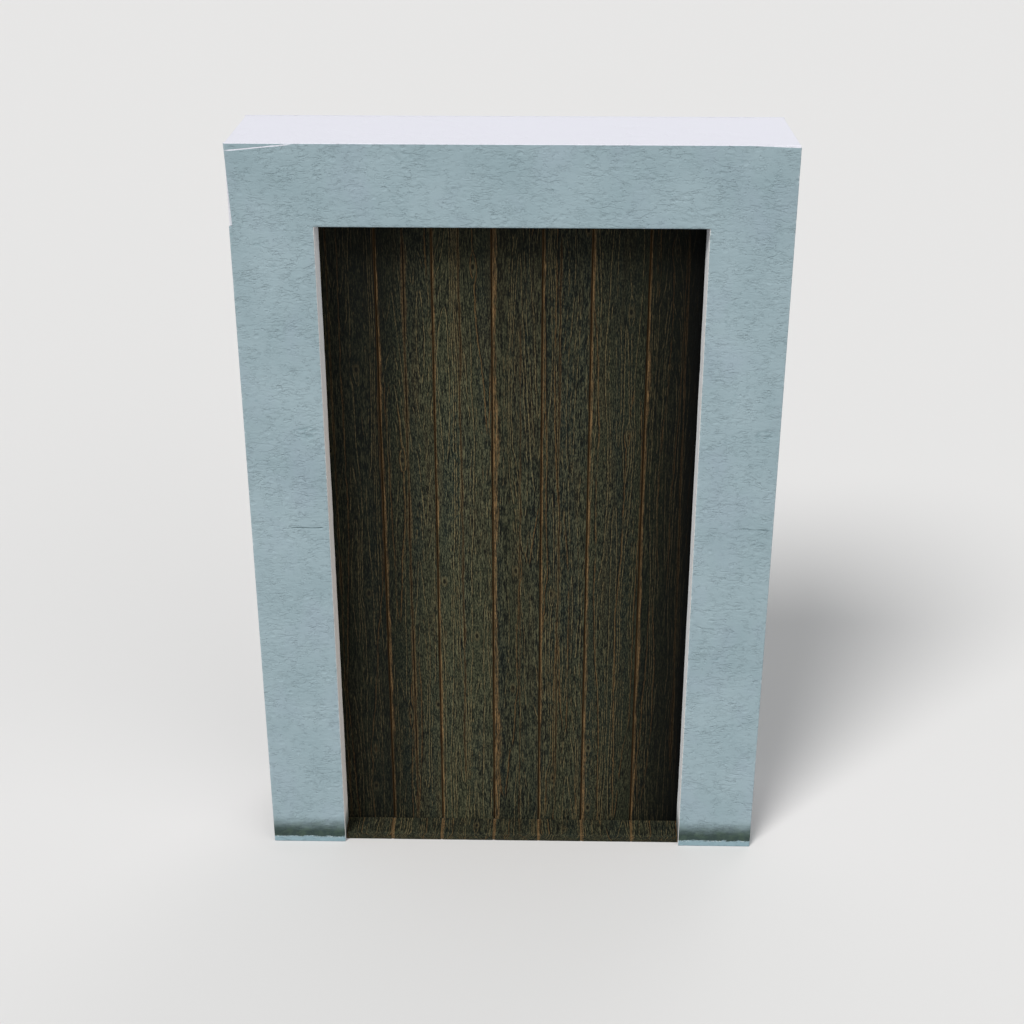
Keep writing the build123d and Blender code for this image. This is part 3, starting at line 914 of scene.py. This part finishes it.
def makeBluePlaster(look, skin, grime):
    material, tree, shader = newMaterial("bluePlaster")
    where = objectPlace(tree)
    cover = useGroup(tree, skin, {"Vector": where, "Cloud Size": 0.20, "Fold Size": look["foldSize"]})
    colour = mixColour(tree, remap(tree, cover["Cloud"], 0.35, 0.7, 0.0, 0.55), look["coat"], look["shade"])
    tint = noise(tree, stretched(tree, where, (1.0, 1.0, 0.6)), 9.0, 2.0)
    colour = mixColour(tree, remap(tree, tint, 0.5, 0.75, 0.0, 0.3), colour, look["lilac"])
    dull = remap(tree, splitAxes(tree, where)[2], 1.9, 2.1, 0.0, 0.16)
    colour = mixColour(tree, dull, colour, look["shade"])
    colour = mixColour(tree, calc(tree, "MULTIPLY", cover["Speck"], 0.4), colour, look["shade"])
    colour = mixColour(tree, calc(tree, "MULTIPLY", attribute(tree, "pitted"), 0.6), colour, look["shade"])
    colour = mixColour(tree, calc(tree, "MULTIPLY", attribute(tree, "chipped"), 0.65), colour, look["shade"])
    scuff = remap(tree, noise(tree, where, 90.0, 4.0, 0.7), 0.48, 0.62)
    scuff = calc(tree, "MULTIPLY", scuff, 0.7)
    colour = mixColour(tree, calc(tree, "MULTIPLY", attribute(tree, "worn"), scuff), colour, look["chalk"])
    crackGap = calc(tree, "ABSOLUTE", attribute(tree, "crackGap"))
    crack = remap(tree, crackGap, look["crackWidth"] * 0.4, look["crackWidth"], 1.0, 0.0)
    crack = calc(tree, "MULTIPLY", crack, attribute(tree, "crackFade"))
    crackColour = mixColour(tree, attribute(tree, "crackChalk"), look["crack"], look["lime"])
    colour = mixColour(tree, crack, colour, crackColour)
    colour = coverWithGrime(tree, look, colour, where, grime, 1.0)
    # the coats' upper ends, and what shows of their inner faces there, went white with the top of the wall,
    # in the top's dusty colour, which is also kept darker as painted shade against the stronger light on top
    facing = splitAxes(tree, tree.nodes.new("ShaderNodeNewGeometry").outputs["Normal"])
    up = facing[2]
    high = calc(tree, "GREATER_THAN", splitAxes(tree, where)[2], look["limeAbove"])
    inner = calc(tree, "LESS_THAN", calc(tree, "ABSOLUTE", splitAxes(tree, where)[1]), look["innerFace"])
    capped = calc(tree, "MULTIPLY", calc(tree, "MAXIMUM", remap(tree, up, 0.20, 0.35), inner), high)
    colour = mixColour(tree, capped, colour, look["topDustAndShade"])
    # and their edges in the doorway are rubbed white like its sides, which also paints a highlight along the
    # arris and lifts the shade on these narrow faces
    side = remap(tree, calc(tree, "ABSOLUTE", facing[0]), 0.5, 0.8)
    inside = calc(tree, "LESS_THAN", calc(tree, "ABSOLUTE", splitAxes(tree, where)[0]), look["doorwaySide"])
    colour = mixColour(tree, calc(tree, "MULTIPLY", side, inside), colour, look["rubbedAndLit"])
    tree.links.new(colour, shader.inputs["Base Color"])
    shader.inputs["Roughness"].default_value = look["roughness"]
    shader.inputs["Specular IOR Level"].default_value = look["shine"]
    bump(tree, shader, cover["Height"], look["foldBump"])
    return material


def makeWhitePlaster(look, skin, grime):
    material, tree, shader = newMaterial("whitePlaster")
    where = objectPlace(tree)
    cover = useGroup(tree, skin, {"Vector": where, "Cloud Size": 0.30, "Fold Size": look["foldSize"]})
    colour = mixColour(tree, remap(tree, cover["Cloud"], 0.4, 0.75, 0.0, 0.5), look["lime"], look["dust"])
    facing = splitAxes(tree, tree.nodes.new("ShaderNodeNewGeometry").outputs["Normal"])
    # up-facing faces take a dustier colour, darker partly as painted shade against the stronger light on top
    colour = mixColour(tree, remap(tree, facing[2], 0.3, 0.6), colour, look["topDustAndShade"])
    # the sides of the doorway are rubbed in upright streaks, and there they are lighter, and warmer low on
    # the left, as painted fill light and painted warm light bounced from the wood
    side = remap(tree, calc(tree, "ABSOLUTE", facing[0]), 0.4, 0.7)
    axes = splitAxes(tree, where)
    inside = calc(tree, "LESS_THAN", calc(tree, "ABSOLUTE", axes[0]), look["doorwaySide"])
    streaks = noise(tree, stretched(tree, where, (40.0, 40.0, 2.0)), 1.0, 3.0, 0.6)
    rubbedAndLit = calc(tree, "MULTIPLY", calc(tree, "MULTIPLY", side, inside),
                  remap(tree, streaks, 0.3, 0.6, 0.75))
    cooler = calc(tree, "MAXIMUM", remap(tree, axes[2], 1.35, 1.75), remap(tree, axes[0], -0.1, 0.1))
    sideFillColour = mixColour(tree, cooler, look["warmBounceAndFill"], look["cool"])
    colour = mixColour(tree, rubbedAndLit, colour, sideFillColour)
    colour = coverWithGrime(tree, look, colour, where, grime, 0.85)
    tree.links.new(colour, shader.inputs["Base Color"])
    shader.inputs["Roughness"].default_value = look["roughness"]
    shader.inputs["Specular IOR Level"].default_value = look["shine"]
    bump(tree, shader, cover["Height"], look["foldBump"])
    return material


def makeTimber(look, grainGroup):
    material, tree, shader = newMaterial("weatheredTimber")
    where = attribute(tree, "grainPlace", "Vector")
    grain = useGroup(tree, grainGroup, {"Vector": where})
    # a painted shadow of the head of the doorway darkens the wood under it, and worn wood stays paler than
    # the rest
    toneAndShade = attribute(tree, "toneAndShade")
    height = splitAxes(tree, objectPlace(tree))[2]
    patchy = calc(tree, "MULTIPLY_ADD", grain["Warm"], 0.10, height)
    headShadow = remap(tree, patchy, look["sootFrom"], look["sootFull"], 1.0, look["sootShade"], True)
    shade = calc(tree, "MULTIPLY", toneAndShade, headShadow)
    fibreShade = calc(tree, "POWER", shade, look["fibreHold"])
    bareShade = calc(tree, "POWER", shade, look["bareHold"])
    pale = {name: vectorCalc(tree, "SCALE", look[name][:3], bareShade)
            for name in ("line", "vein")}
    pale["fibre"] = vectorCalc(tree, "SCALE", look["paleFibre"][:3], fibreShade)
    seamShade = calc(tree, "POWER", shade, look["seamHold"])
    pale["seamWear"] = vectorCalc(tree, "SCALE", look["seamWear"][:3], seamShade)
    colour = mixColour(tree, remap(tree, grain["Stain"], 0.40, 0.60), look["olive"], look["coldStain"])
    colour = mixColour(tree, remap(tree, grain["Warm"], 0.50, 0.70, 0.0, 0.8), colour, look["brownStain"])
    # the darkest boards are greener
    colour = mixColour(tree, remap(tree, toneAndShade, 0.15, 0.6, 1.0, 0.0), colour, look["damp"], "MULTIPLY")
    colour = vectorCalc(tree, "SCALE", colour, shade)
    colour = mixColour(tree, remap(tree, grain["Streak"], 0.01, 0.16, 0.0, 0.85), colour, pale["fibre"])
    colour = mixColour(tree, remap(tree, grain["Fleck"], 0.51, 0.66, 0.0, 0.50), colour, pale["fibre"])
    colour = mixColour(tree, remap(tree, grain["Streak"], -0.01, -0.14, 0.0, 0.95), colour, look["darkFibre"])
    colour = mixColour(tree, remap(tree, grain["Fleck"], 0.49, 0.34, 0.0, 0.70), colour, look["darkFibre"])
    # the painted shadow beside the growth lines and veins
    colour = mixColour(tree, calc(tree, "MULTIPLY", grain["VeinShade"], 0.9), colour, look["darkFibre"])
    colour = mixColour(tree, calc(tree, "MULTIPLY", grain["KnotRim"], 0.22), colour, pale["line"])
    colour = mixColour(tree, grain["Knot"], colour, look["darkFibre"])
    hold = remap(tree, grain["Fleck"], 0.36, 0.56, 0.35, 0.95)
    colour = mixColour(tree, calc(tree, "MULTIPLY", grain["Line"], calc(tree, "MULTIPLY", hold, 0.8)),
                       colour, pale["line"])
    colour = mixColour(tree, calc(tree, "MULTIPLY", grain["Vein"], calc(tree, "MULTIPLY", hold, 0.85)),
                       colour, pale["vein"])
    # a worn brown arris on the left of each board, and a dark line down the right of the one before
    ragged = noise(tree, stretched(tree, where, (60.0, 60.0, 5.0)), 1.0, 4.0, 0.65)
    slowly = noise(tree, stretched(tree, where, (5.0, 5.0, 1.4)), 1.0, 1.0)
    slowly = remap(tree, slowly, 0.35, 0.65, 0.7, 1.3)
    seamWide = calc(tree, "MULTIPLY", attribute(tree, "seamWide"), slowly)
    wornTo = calc(tree, "MULTIPLY", seamWide, remap(tree, ragged, 0.3, 0.7, 0.5, 1.6))
    fromLeft = attribute(tree, "fromLeft")
    leftWear = remap(tree, fromLeft, calc(tree, "MULTIPLY", wornTo, 0.6), wornTo, 1.0, 0.0)
    # it is whole at the seam itself, and frays into pale and dark strands further in
    strand = noise(tree, stretched(tree, where, (240.0, 240.0, 14.0)), 1.0, 3.0, 0.7)
    strands = remap(tree, strand, 0.42, 0.58, 0.15, 1.0)
    seamColour = vectorCalc(tree, "SCALE", pale["seamWear"], remap(tree, strand, 0.40, 0.60, 0.5, 1.45))
    whole = remap(tree, fromLeft, *look["wholeWear"], 1.0, 0.0)
    leftWear = calc(tree, "MULTIPLY", leftWear, calc(tree, "MAXIMUM", whole, strands))
    onFace = attribute(tree, "onFace")
    leftWear = calc(tree, "MULTIPLY", leftWear, onFace)
    colour = mixColour(tree, calc(tree, "MULTIPLY", leftWear, hold), colour, seamColour)
    dirtTo = remap(tree, ragged, 0.3, 0.7, *look["dirtReach"])
    fromRight = attribute(tree, "fromRight")
    dirty = remap(tree, fromRight, calc(tree, "MULTIPLY", dirtTo, 0.7), dirtTo, 0.5, 0.0)
    colour = mixColour(tree, dirty, colour, look["seamDirt"])
    # the right bevel takes pale worn colour too, as painted light against the shade that falls on it
    rightWearAndLight = remap(tree, fromRight, *look["rightWearAndLight"], 0.9, 0.0)
    rightWearAndLight = calc(tree, "MULTIPLY", rightWearAndLight, onFace)
    colour = mixColour(tree, rightWearAndLight, colour, pale["seamWear"])
    # the split has a brown frayed edge
    splitGap = calc(tree, "ABSOLUTE", attribute(tree, "splitGap"))
    splitFade = attribute(tree, "splitFade")
    frayedTo = calc(tree, "MULTIPLY_ADD", ragged, 5.0, 0.8)
    frayed = calc(tree, "MULTIPLY", remap(tree, splitGap, 1.2, frayedTo, 0.4, 0.0), splitFade)
    colour = mixColour(tree, calc(tree, "MULTIPLY", frayed, hold), colour, pale["seamWear"])
    cleft = calc(tree, "MULTIPLY", remap(tree, splitGap, 0.3, 0.8, 0.9, 0.0), splitFade)
    colour = mixColour(tree, cleft, colour, look["seamDirt"])
    tree.links.new(colour, shader.inputs["Base Color"])
    shader.inputs["Roughness"].default_value = look["roughness"]
    shader.inputs["Specular IOR Level"].default_value = look["shine"]
    bump(tree, shader, grain["Height"], look["fibreBump"])
    return material


def makeIron(look):
    material, tree, shader = newMaterial("forgedIron")
    where = objectPlace(tree)
    cloud = noise(tree, where, 45.0, 4.0, 0.6)
    colour = mixColour(tree, remap(tree, cloud, 0.48, 0.66), look["scale"], look["rust"])
    fine = noise(tree, where, 260.0, 3.0, 0.6)
    colour = mixColour(tree, remap(tree, fine, 0.60, 0.72, 0.0, 0.6), colour, look["bright"])
    tree.links.new(colour, shader.inputs["Base Color"])
    rough = remap(tree, cloud, 0.4, 0.7, *look["roughness"])
    tree.links.new(rough, shader.inputs["Roughness"])
    shader.inputs["Metallic"].default_value = look["metal"]
    shader.inputs["Specular IOR Level"].default_value = look["shine"]
    bump(tree, shader, fine, look["scaleBump"])
    return material


# The front and back coats of blue plaster

coatLook = {
    "frontStep": 3.2 * mm,
    "backStep": 6.5 * mm,
    "arris": 2 * mm,
    "foldSize": 14 * mm,
    "foldDepth": 0.4 * mm,
    "swayDepth": 0.8 * mm,
    "frontOpeningSide": 0.525,
    "frontOpeningTop": 1.988,
    "backOpeningSide": 0.558,
    "backOpeningTop": 2.016,
    "arrisWear": 1.5 * mm,
    "chipDepth": 1.8 * mm,
    "crackCuts": (-3 * mm, -1.5 * mm, 0, 1.5 * mm, 3 * mm),
}


def crackNote(across, height, slope=0.0, reach=90 * mm, width=3 * mm, depth=0.8 * mm, wander=1.2 * mm,
              chalk=0.0):
    return {"Crack Place": (across, height), "Crack Slope": slope, "Crack Reach": reach,
            "Crack Width": width, "Crack Depth": depth, "Crack Wander": wander, "Crack Chalk": chalk}


coatPieces = [
    # node, chips as (across, height, reach), crack
    ("left_front_plaster", [(-0.579, 1.398, 0.042), (-0.675, 1.944, 0.022)],
     crackNote(-0.590, 1.103, 0.0, 50 * mm)),
    ("right_front_plaster", [(0.707, 1.400, 0.036), (0.610, 0.680, 0.020)],
     crackNote(0.700, 1.109, -0.06, 42 * mm, depth=0.6 * mm)),
    ("head_front_plaster", [(-0.282, 2.176, 0.026), (-0.696, 2.134, 0.020)],
     crackNote(-0.660, 2.1985, 0.100, 90 * mm, 2.2 * mm, 0.4 * mm, 0.4 * mm, 1.0)),
    ("left_back_plaster", [(-0.640, 1.310, 0.036), (-0.690, 0.520, 0.022)], crackNote(-0.655, 1.472, 0.05)),
    ("right_back_plaster", [(0.668, 1.640, 0.030)], None),
    ("head_back_plaster", [(0.240, 2.120, 0.028), (-0.510, 2.160, 0.020)], None),
]


def makeCoats(look, tree, material):
    for node, chips, crack in coatPieces:
        low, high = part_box(node)
        front = low.y < 0
        step = look["frontStep" if front else "backStep"]
        faceY = low.y if front else high.y
        side = look["frontOpeningSide" if front else "backOpeningSide"]
        top = look["frontOpeningTop" if front else "backOpeningTop"]
        isHead = node.startswith("head")

        def isOpenArris(spot):
            # arrises on the face, but not the ones where a pier's coat meets the head's
            if abs(spot.y - faceY) > mm:
                return False
            if isHead:
                return spot.z > top + mm or abs(spot.x) < side - mm
            return spot.z < high.z - mm

        middleY = (low.y + high.y) / 2

        def isOutside(spot):
            # the outer half of the coat, and not its hidden back against the masonry
            return spot.y < middleY if front else spot.y > middleY

        firstCuts = [(0, -side), (0, side)] if isHead else []
        moreCuts = []
        if crack:
            moreCuts = [(2, crack["Crack Place"][1] + offset) for offset in look["crackCuts"]]
        piece = gridCopy(node, node + "_skin", (step, None, step), look["arris"],
                         keepArris=isOpenArris, firstCuts=firstCuts, moreCuts=moreCuts,
                         hiddenFrom=middleY, isCut=isOutside)
        values = {
            "Material": material,
            "Seed": 0.0 if front else 7.0,
            "Outward": (0.0, -1.0 if front else 1.0, 0.0),
            "Fold Size": look["foldSize"],
            "Fold Depth": look["foldDepth"],
            "Sway Depth": look["swayDepth"],
            "Opening Side": side,
            "Opening Top": top,
            "Arris Wear": look["arrisWear"],
            "Chip Depth": look["chipDepth"],
        }
        for which, (across, height, reach) in zip(("First", "Second"), chips):
            values[which + " Chip"] = (across, faceY, height)
            values[which + " Chip Reach"] = reach
        if crack:
            values.update(crack)
            across, height = crack["Crack Place"]
            values["Crack Place"] = (across, faceY, height)
        bakeTree(piece, tree, values)
        settle(piece, "surround", "blue_plaster", node)


# The white masonry behind the coats

masonryLook = {
    "coatedFrom": 0.165,
    "jointTop": 1.988,
    "openingSide": 0.6,
    "step": 12 * mm,
    "arris": 3.5 * mm,
    "foldSize": 60 * mm,
    "foldDepth": 0.5 * mm,
    "swayDepth": 1.4 * mm,
}


def makeMasonry(look, tree, material):

    def isBareArris(spot):
        # not the ones that a coat covers, nor where the lintel sits on the piers
        if abs(spot.y) > look["coatedFrom"]:
            return False
        return spot.z > look["jointTop"] + mm or (abs(spot.x) < look["openingSide"] and
                                                  spot.z < look["jointTop"] - mm)

    for node in ("left_pier", "right_pier", "lintel"):
        piece = gridCopy(node, node + "_skin", (look["step"],) * 3, look["arris"], keepArris=isBareArris)
        bakeTree(piece, tree, {
            "Material": material,
            "Seed": 31.0,
            "Fold Size": look["foldSize"],
            "Fold Depth": look["foldDepth"],
            "Sway Depth": look["swayDepth"],
        })
        settle(piece, "surround", "white_plaster", node)


# The boards of the leaf

boardLook = {
    "tongue": 10 * mm,
    "acrossStep": 3.2 * mm,
    "alongStep": 12 * mm,
    "fibreDepth": 0.9 * mm,
    "cupDepth": 1.2 * mm,
    "arrisWear": 1.2 * mm,
    "seamClose": 0.92 * mm,
    "splitDepth": 5 * mm,
    "splitStep": 1.5 * mm,
    "backTone": 0.62,
}

# per board: tones at its left and right, which also hold painted shade in the doorway's corners, worn width
# of its left arris in mm, and a split in metres as (across, slope, wander, width, from, to)
boardNotes = {
    1: (0.20, 0.18, 11, (-0.516, 0.002, 0.0020, 0.0012, 0.0, 2.02)),
    2: (0.15, 0.78, 8, (-0.302, 0.0, 0.0022, 0.0026, 0.0, 2.02)),
    3: (0.84, 0.76, 8, (-0.147, 0.0, 0.0060, 0.0016, 0.15, 2.02)),
    4: (0.56, 0.66, 16, (0.022, 0.0, 0.0040, 0.0010, 0.0, 1.7)),
    5: (0.60, 0.64, 7, (0.135, 0.0, 0.0060, 0.0014, 0.1, 1.95)),
    6: (0.63, 0.36, 8, None),
    7: (0.24, -0.05, 8, (0.500, -0.010, 0.0030, 0.0012, 0.2, 1.95)),
}


def makeBoards(look, tree, material):
    for number, (leftToneAndShade, rightToneAndShade, seamWide, split) in boardNotes.items():
        node = f"board_{number}"
        low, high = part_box(node)
        tongue = look["tongue"] if number < len(boardNotes) else 0
        moreCuts = []
        splitValues = {}
        if split:
            moreCuts = [(0, split[0] + offset * look["splitStep"]) for offset in range(-7, 8)]
            names = ("Across", "Slope", "Wander", "Width", "From", "To")
            splitValues = {"Split " + name: value for name, value in zip(names, split)}
        piece = gridCopy(node, node + "_wood", (look["acrossStep"], None, look["alongStep"]),
                         moreCuts=moreCuts)
        bakeTree(piece, tree, {
            "Material": material,
            "Seed": number * 1.37,
            "Left Tone And Shade": leftToneAndShade,
            "Right Tone And Shade": rightToneAndShade,
            "Back Tone": look["backTone"],
            "Left Arris": low.x,
            "Right Arris": high.x - tongue,
            "Fibre Depth": look["fibreDepth"],
            "Cup Depth": look["cupDepth"],
            "Arris Wear": look["arrisWear"],
            "Seam Close": look["seamClose"],
            "Seam Wide": seamWide * mm,
            "Split Depth": look["splitDepth"],
            **splitValues,
        })
        settle(piece, "leaf", "dark_timber", node)


# Ledges, braces and threshold


crossTimberLook = {
    "step": 5 * mm,
    "longStep": 14 * mm,
    "arris": 1.5 * mm,
    "fibreDepth": 0.8 * mm,
    "cupDepth": 1.2 * mm,
    "arrisWear": 1.5 * mm,
    "braceWidth": 110 * mm,
    "ledgeTone": 1.0,
    "braceTone": 0.94,
}


def grainDirection(node):
    # the way a plain timber runs, taken from its longest edge
    work = mergedSolid(node)
    longest = max(work.edges, key=lambda edge: edge.calc_length())
    direction = (longest.verts[1].co - longest.verts[0].co).normalized()
    work.free()
    return direction if direction.z >= 0 else -direction


def makeCrossTimber(look, tree, material):
    shared = {
        "Material": material,
        "Fibre Depth": look["fibreDepth"],
        "Cup Depth": look["cupDepth"],
        "Arris Wear": look["arrisWear"],
    }
    for seed, node in enumerate(("top_ledge", "middle_ledge", "bottom_ledge")):
        low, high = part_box(node)
        piece = gridCopy(node, node + "_wood", (look["longStep"], look["step"], look["step"]),
                         look["arris"])
        bakeTree(piece, tree, {
            **shared,
            "Seed": 20.0 + 1.9 * seed,
            "Left Tone And Shade": look["ledgeTone"],
            "Right Tone And Shade": look["ledgeTone"],
            "Grain Turn": (0.0, math.pi / 2, 0.0),
            "Left Arris": low.z,
            "Right Arris": high.z,
        })
        settle(piece, "leaf", "dark_timber", node)
    for seed, node in enumerate(("upper_brace", "lower_brace")):
        low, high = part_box(node)
        middle = (low + high) / 2
        way = grainDirection(node)
        slope = math.atan2(way.z, way.x)
        across = middle.x * math.sin(slope) - middle.z * math.cos(slope)
        piece = gridCopy(node, node + "_wood", (look["longStep"], look["step"], look["longStep"]),
                         look["arris"])
        bakeTree(piece, tree, {
            **shared,
            "Seed": 33.0 + 2.3 * seed,
            "Left Tone And Shade": look["braceTone"],
            "Right Tone And Shade": look["braceTone"],
            "Grain Turn": (0.0, slope - math.pi / 2, 0.0),
            "Left Arris": across - look["braceWidth"] / 2,
            "Right Arris": across + look["braceWidth"] / 2,
        })
        settle(piece, "leaf", "dark_timber", node)


# The threshold: short boards laid front to back, in line with the boards of the leaf

thresholdLook = {
    "acrossStep": 4 * mm,
    "depthStep": 6 * mm,
    "seamCuts": (-4 * mm, -2 * mm, -1 * mm, 0, 1 * mm, 2 * mm, 4 * mm),
    # kept darker partly as painted shade, since its top faces the light more than the boards do
    "toneAndShade": 0.52,
    "fibreDepth": 0.7 * mm,
    "cupDepth": 0.8 * mm,
    "seamWear": 2.2 * mm,
}


def makeThreshold(look, tree, material):
    low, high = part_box("threshold")
    seams = [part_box(f"board_{number}")[0].x - mm for number in range(2, 8)]
    cuts = [(0, seam + offset) for seam in seams for offset in look["seamCuts"]]
    piece = gridCopy("threshold", "threshold_wood",
                     (look["acrossStep"], look["depthStep"], look["depthStep"]), moreCuts=cuts)
    sides = [low.x] + seams + [high.x]
    leftArris = piece.data.attributes.new("leftArris", "FLOAT", "POINT")
    rightArris = piece.data.attributes.new("rightArris", "FLOAT", "POINT")
    for corner in piece.data.vertices:
        strip = sum(1 for seam in seams if corner.co.x > seam)
        leftArris.data[corner.index].value = sides[strip]
        rightArris.data[corner.index].value = sides[strip + 1]
    bakeTree(piece, tree, {
        "Material": material,
        "Seed": 41.0,
        "Left Tone And Shade": look["toneAndShade"],
        "Right Tone And Shade": look["toneAndShade"],
        "Grain Turn": (math.pi / 2, 0.0, 0.0),
        "Fibre Depth": look["fibreDepth"],
        "Cup Depth": look["cupDepth"],
        "Arris Wear": look["seamWear"],
        "Wear All Round": 1.0,
    }, {"Left Arris": "leftArris", "Right Arris": "rightArris"})
    settle(piece, "surround", "dark_timber", "threshold")


# Hooks and straps, with the rivets and nails that hold the leaf together

ironworkLook = {
    "step": 5 * mm,
    "markSize": 15 * mm,
    "markDepth": 0.35 * mm,
    "rivetRadius": 8 * mm,
    "rivetRise": 4 * mm,
    "rivetCount": 6,
    "nailRadius": 6 * mm,
    "nailRise": 2.2 * mm,
    "strapThick": 6 * mm,
    "firstRivet": 60 * mm,
    "lastRivet": 23 * mm,
    # each board's nails, as the share of its width and the height on the ledge
    "nailPlaces": ((0.3, 42 * mm), (0.7, -42 * mm)),
    "nailFromEnd": 20 * mm,
}


def makeIronwork(look, tree, material):
    for node in ("upper_hook", "lower_hook", "upper_strap", "lower_strap"):
        piece = gridCopy(node, node + "_iron", (look["step"],) * 3)
        bakeTree(piece, tree, {
            "Material": material,
            "Mark Size": look["markSize"],
            "Mark Depth": look["markDepth"],
        })
        settle(piece, "surround" if node.endswith("hook") else "leaf", "wrought_iron", node)


def setStuds(name, points, tree, material, values):
    mesh = bpy.data.meshes.new(name)
    mesh.from_pydata(points, [], [])
    piece = bpy.data.objects.new(name, mesh)
    bpy.context.scene.collection.objects.link(piece)
    bakeTree(piece, tree, {"Material": material, **values})
    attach(piece, "leaf")


def makeStuds(look, tree, material):
    rivets = []
    for node in ("upper_strap", "lower_strap"):
        low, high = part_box(node)
        height = (low.z + high.z) / 2
        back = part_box("top_ledge")[1].y + look["strapThick"]
        first = low.x + look["firstRivet"]
        last = high.x - look["lastRivet"]
        for i in range(look["rivetCount"]):
            rivets.append((first + (last - first) * i / (look["rivetCount"] - 1), back, height))
    setStuds("strap_rivets", rivets, tree, material,
             {"Radius": look["rivetRadius"], "Rise": look["rivetRise"], "Sides": 14, "Seed": 3})

    nails = []
    seams = [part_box(f"board_{number}")[0].x for number in range(1, 8)] + [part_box("board_7")[1].x]
    for node in ("top_ledge", "middle_ledge", "bottom_ledge"):
        low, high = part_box(node)
        middle = (low.z + high.z) / 2
        for left, right in zip(seams, seams[1:]):
            for share, lift in look["nailPlaces"]:
                across = left + (right - left) * share
                across = min(max(across, low.x + look["nailFromEnd"]), high.x - look["nailFromEnd"])
                nails.append((across, high.y, middle + lift))
    setStuds("ledge_nails", nails, tree, material,
             {"Radius": look["nailRadius"], "Rise": look["nailRise"], "Sides": 6, "Seed": 5})


# Everything in order

setView()
makeCamera(cameraLook)
makeStudio(studioLook)
print("stage: camera, floor and lamps are in place")

grimeGroup = groundGrimeGroup()
skinGroup = plasterSkinGroup()
grainGroup = weatheredGrainGroup(grainLook)
bluePlaster = makeBluePlaster(bluePlasterLook, skinGroup, grimeGroup)
whitePlaster = makeWhitePlaster(whitePlasterLook, skinGroup, grimeGroup)
timber = makeTimber(timberLook, grainGroup)
iron = makeIron(ironLook)
print("stage: materials are made")

plasterRelief = plasterReliefTree()
timberRelief = timberReliefTree()
ironRelief = ironReliefTree()
studs = studTree()
makeMasonry(masonryLook, plasterRelief, whitePlaster)
makeCoats(coatLook, plasterRelief, bluePlaster)
print("stage: the surround is plastered")
makeBoards(boardLook, timberRelief, timber)
makeCrossTimber(crossTimberLook, timberRelief, timber)
makeThreshold(thresholdLook, timberRelief, timber)
print("stage: the timber is cut")
makeIronwork(ironworkLook, ironRelief, iron)
makeStuds(ironworkLook, studs, iron)
print("stage: the ironwork is on")
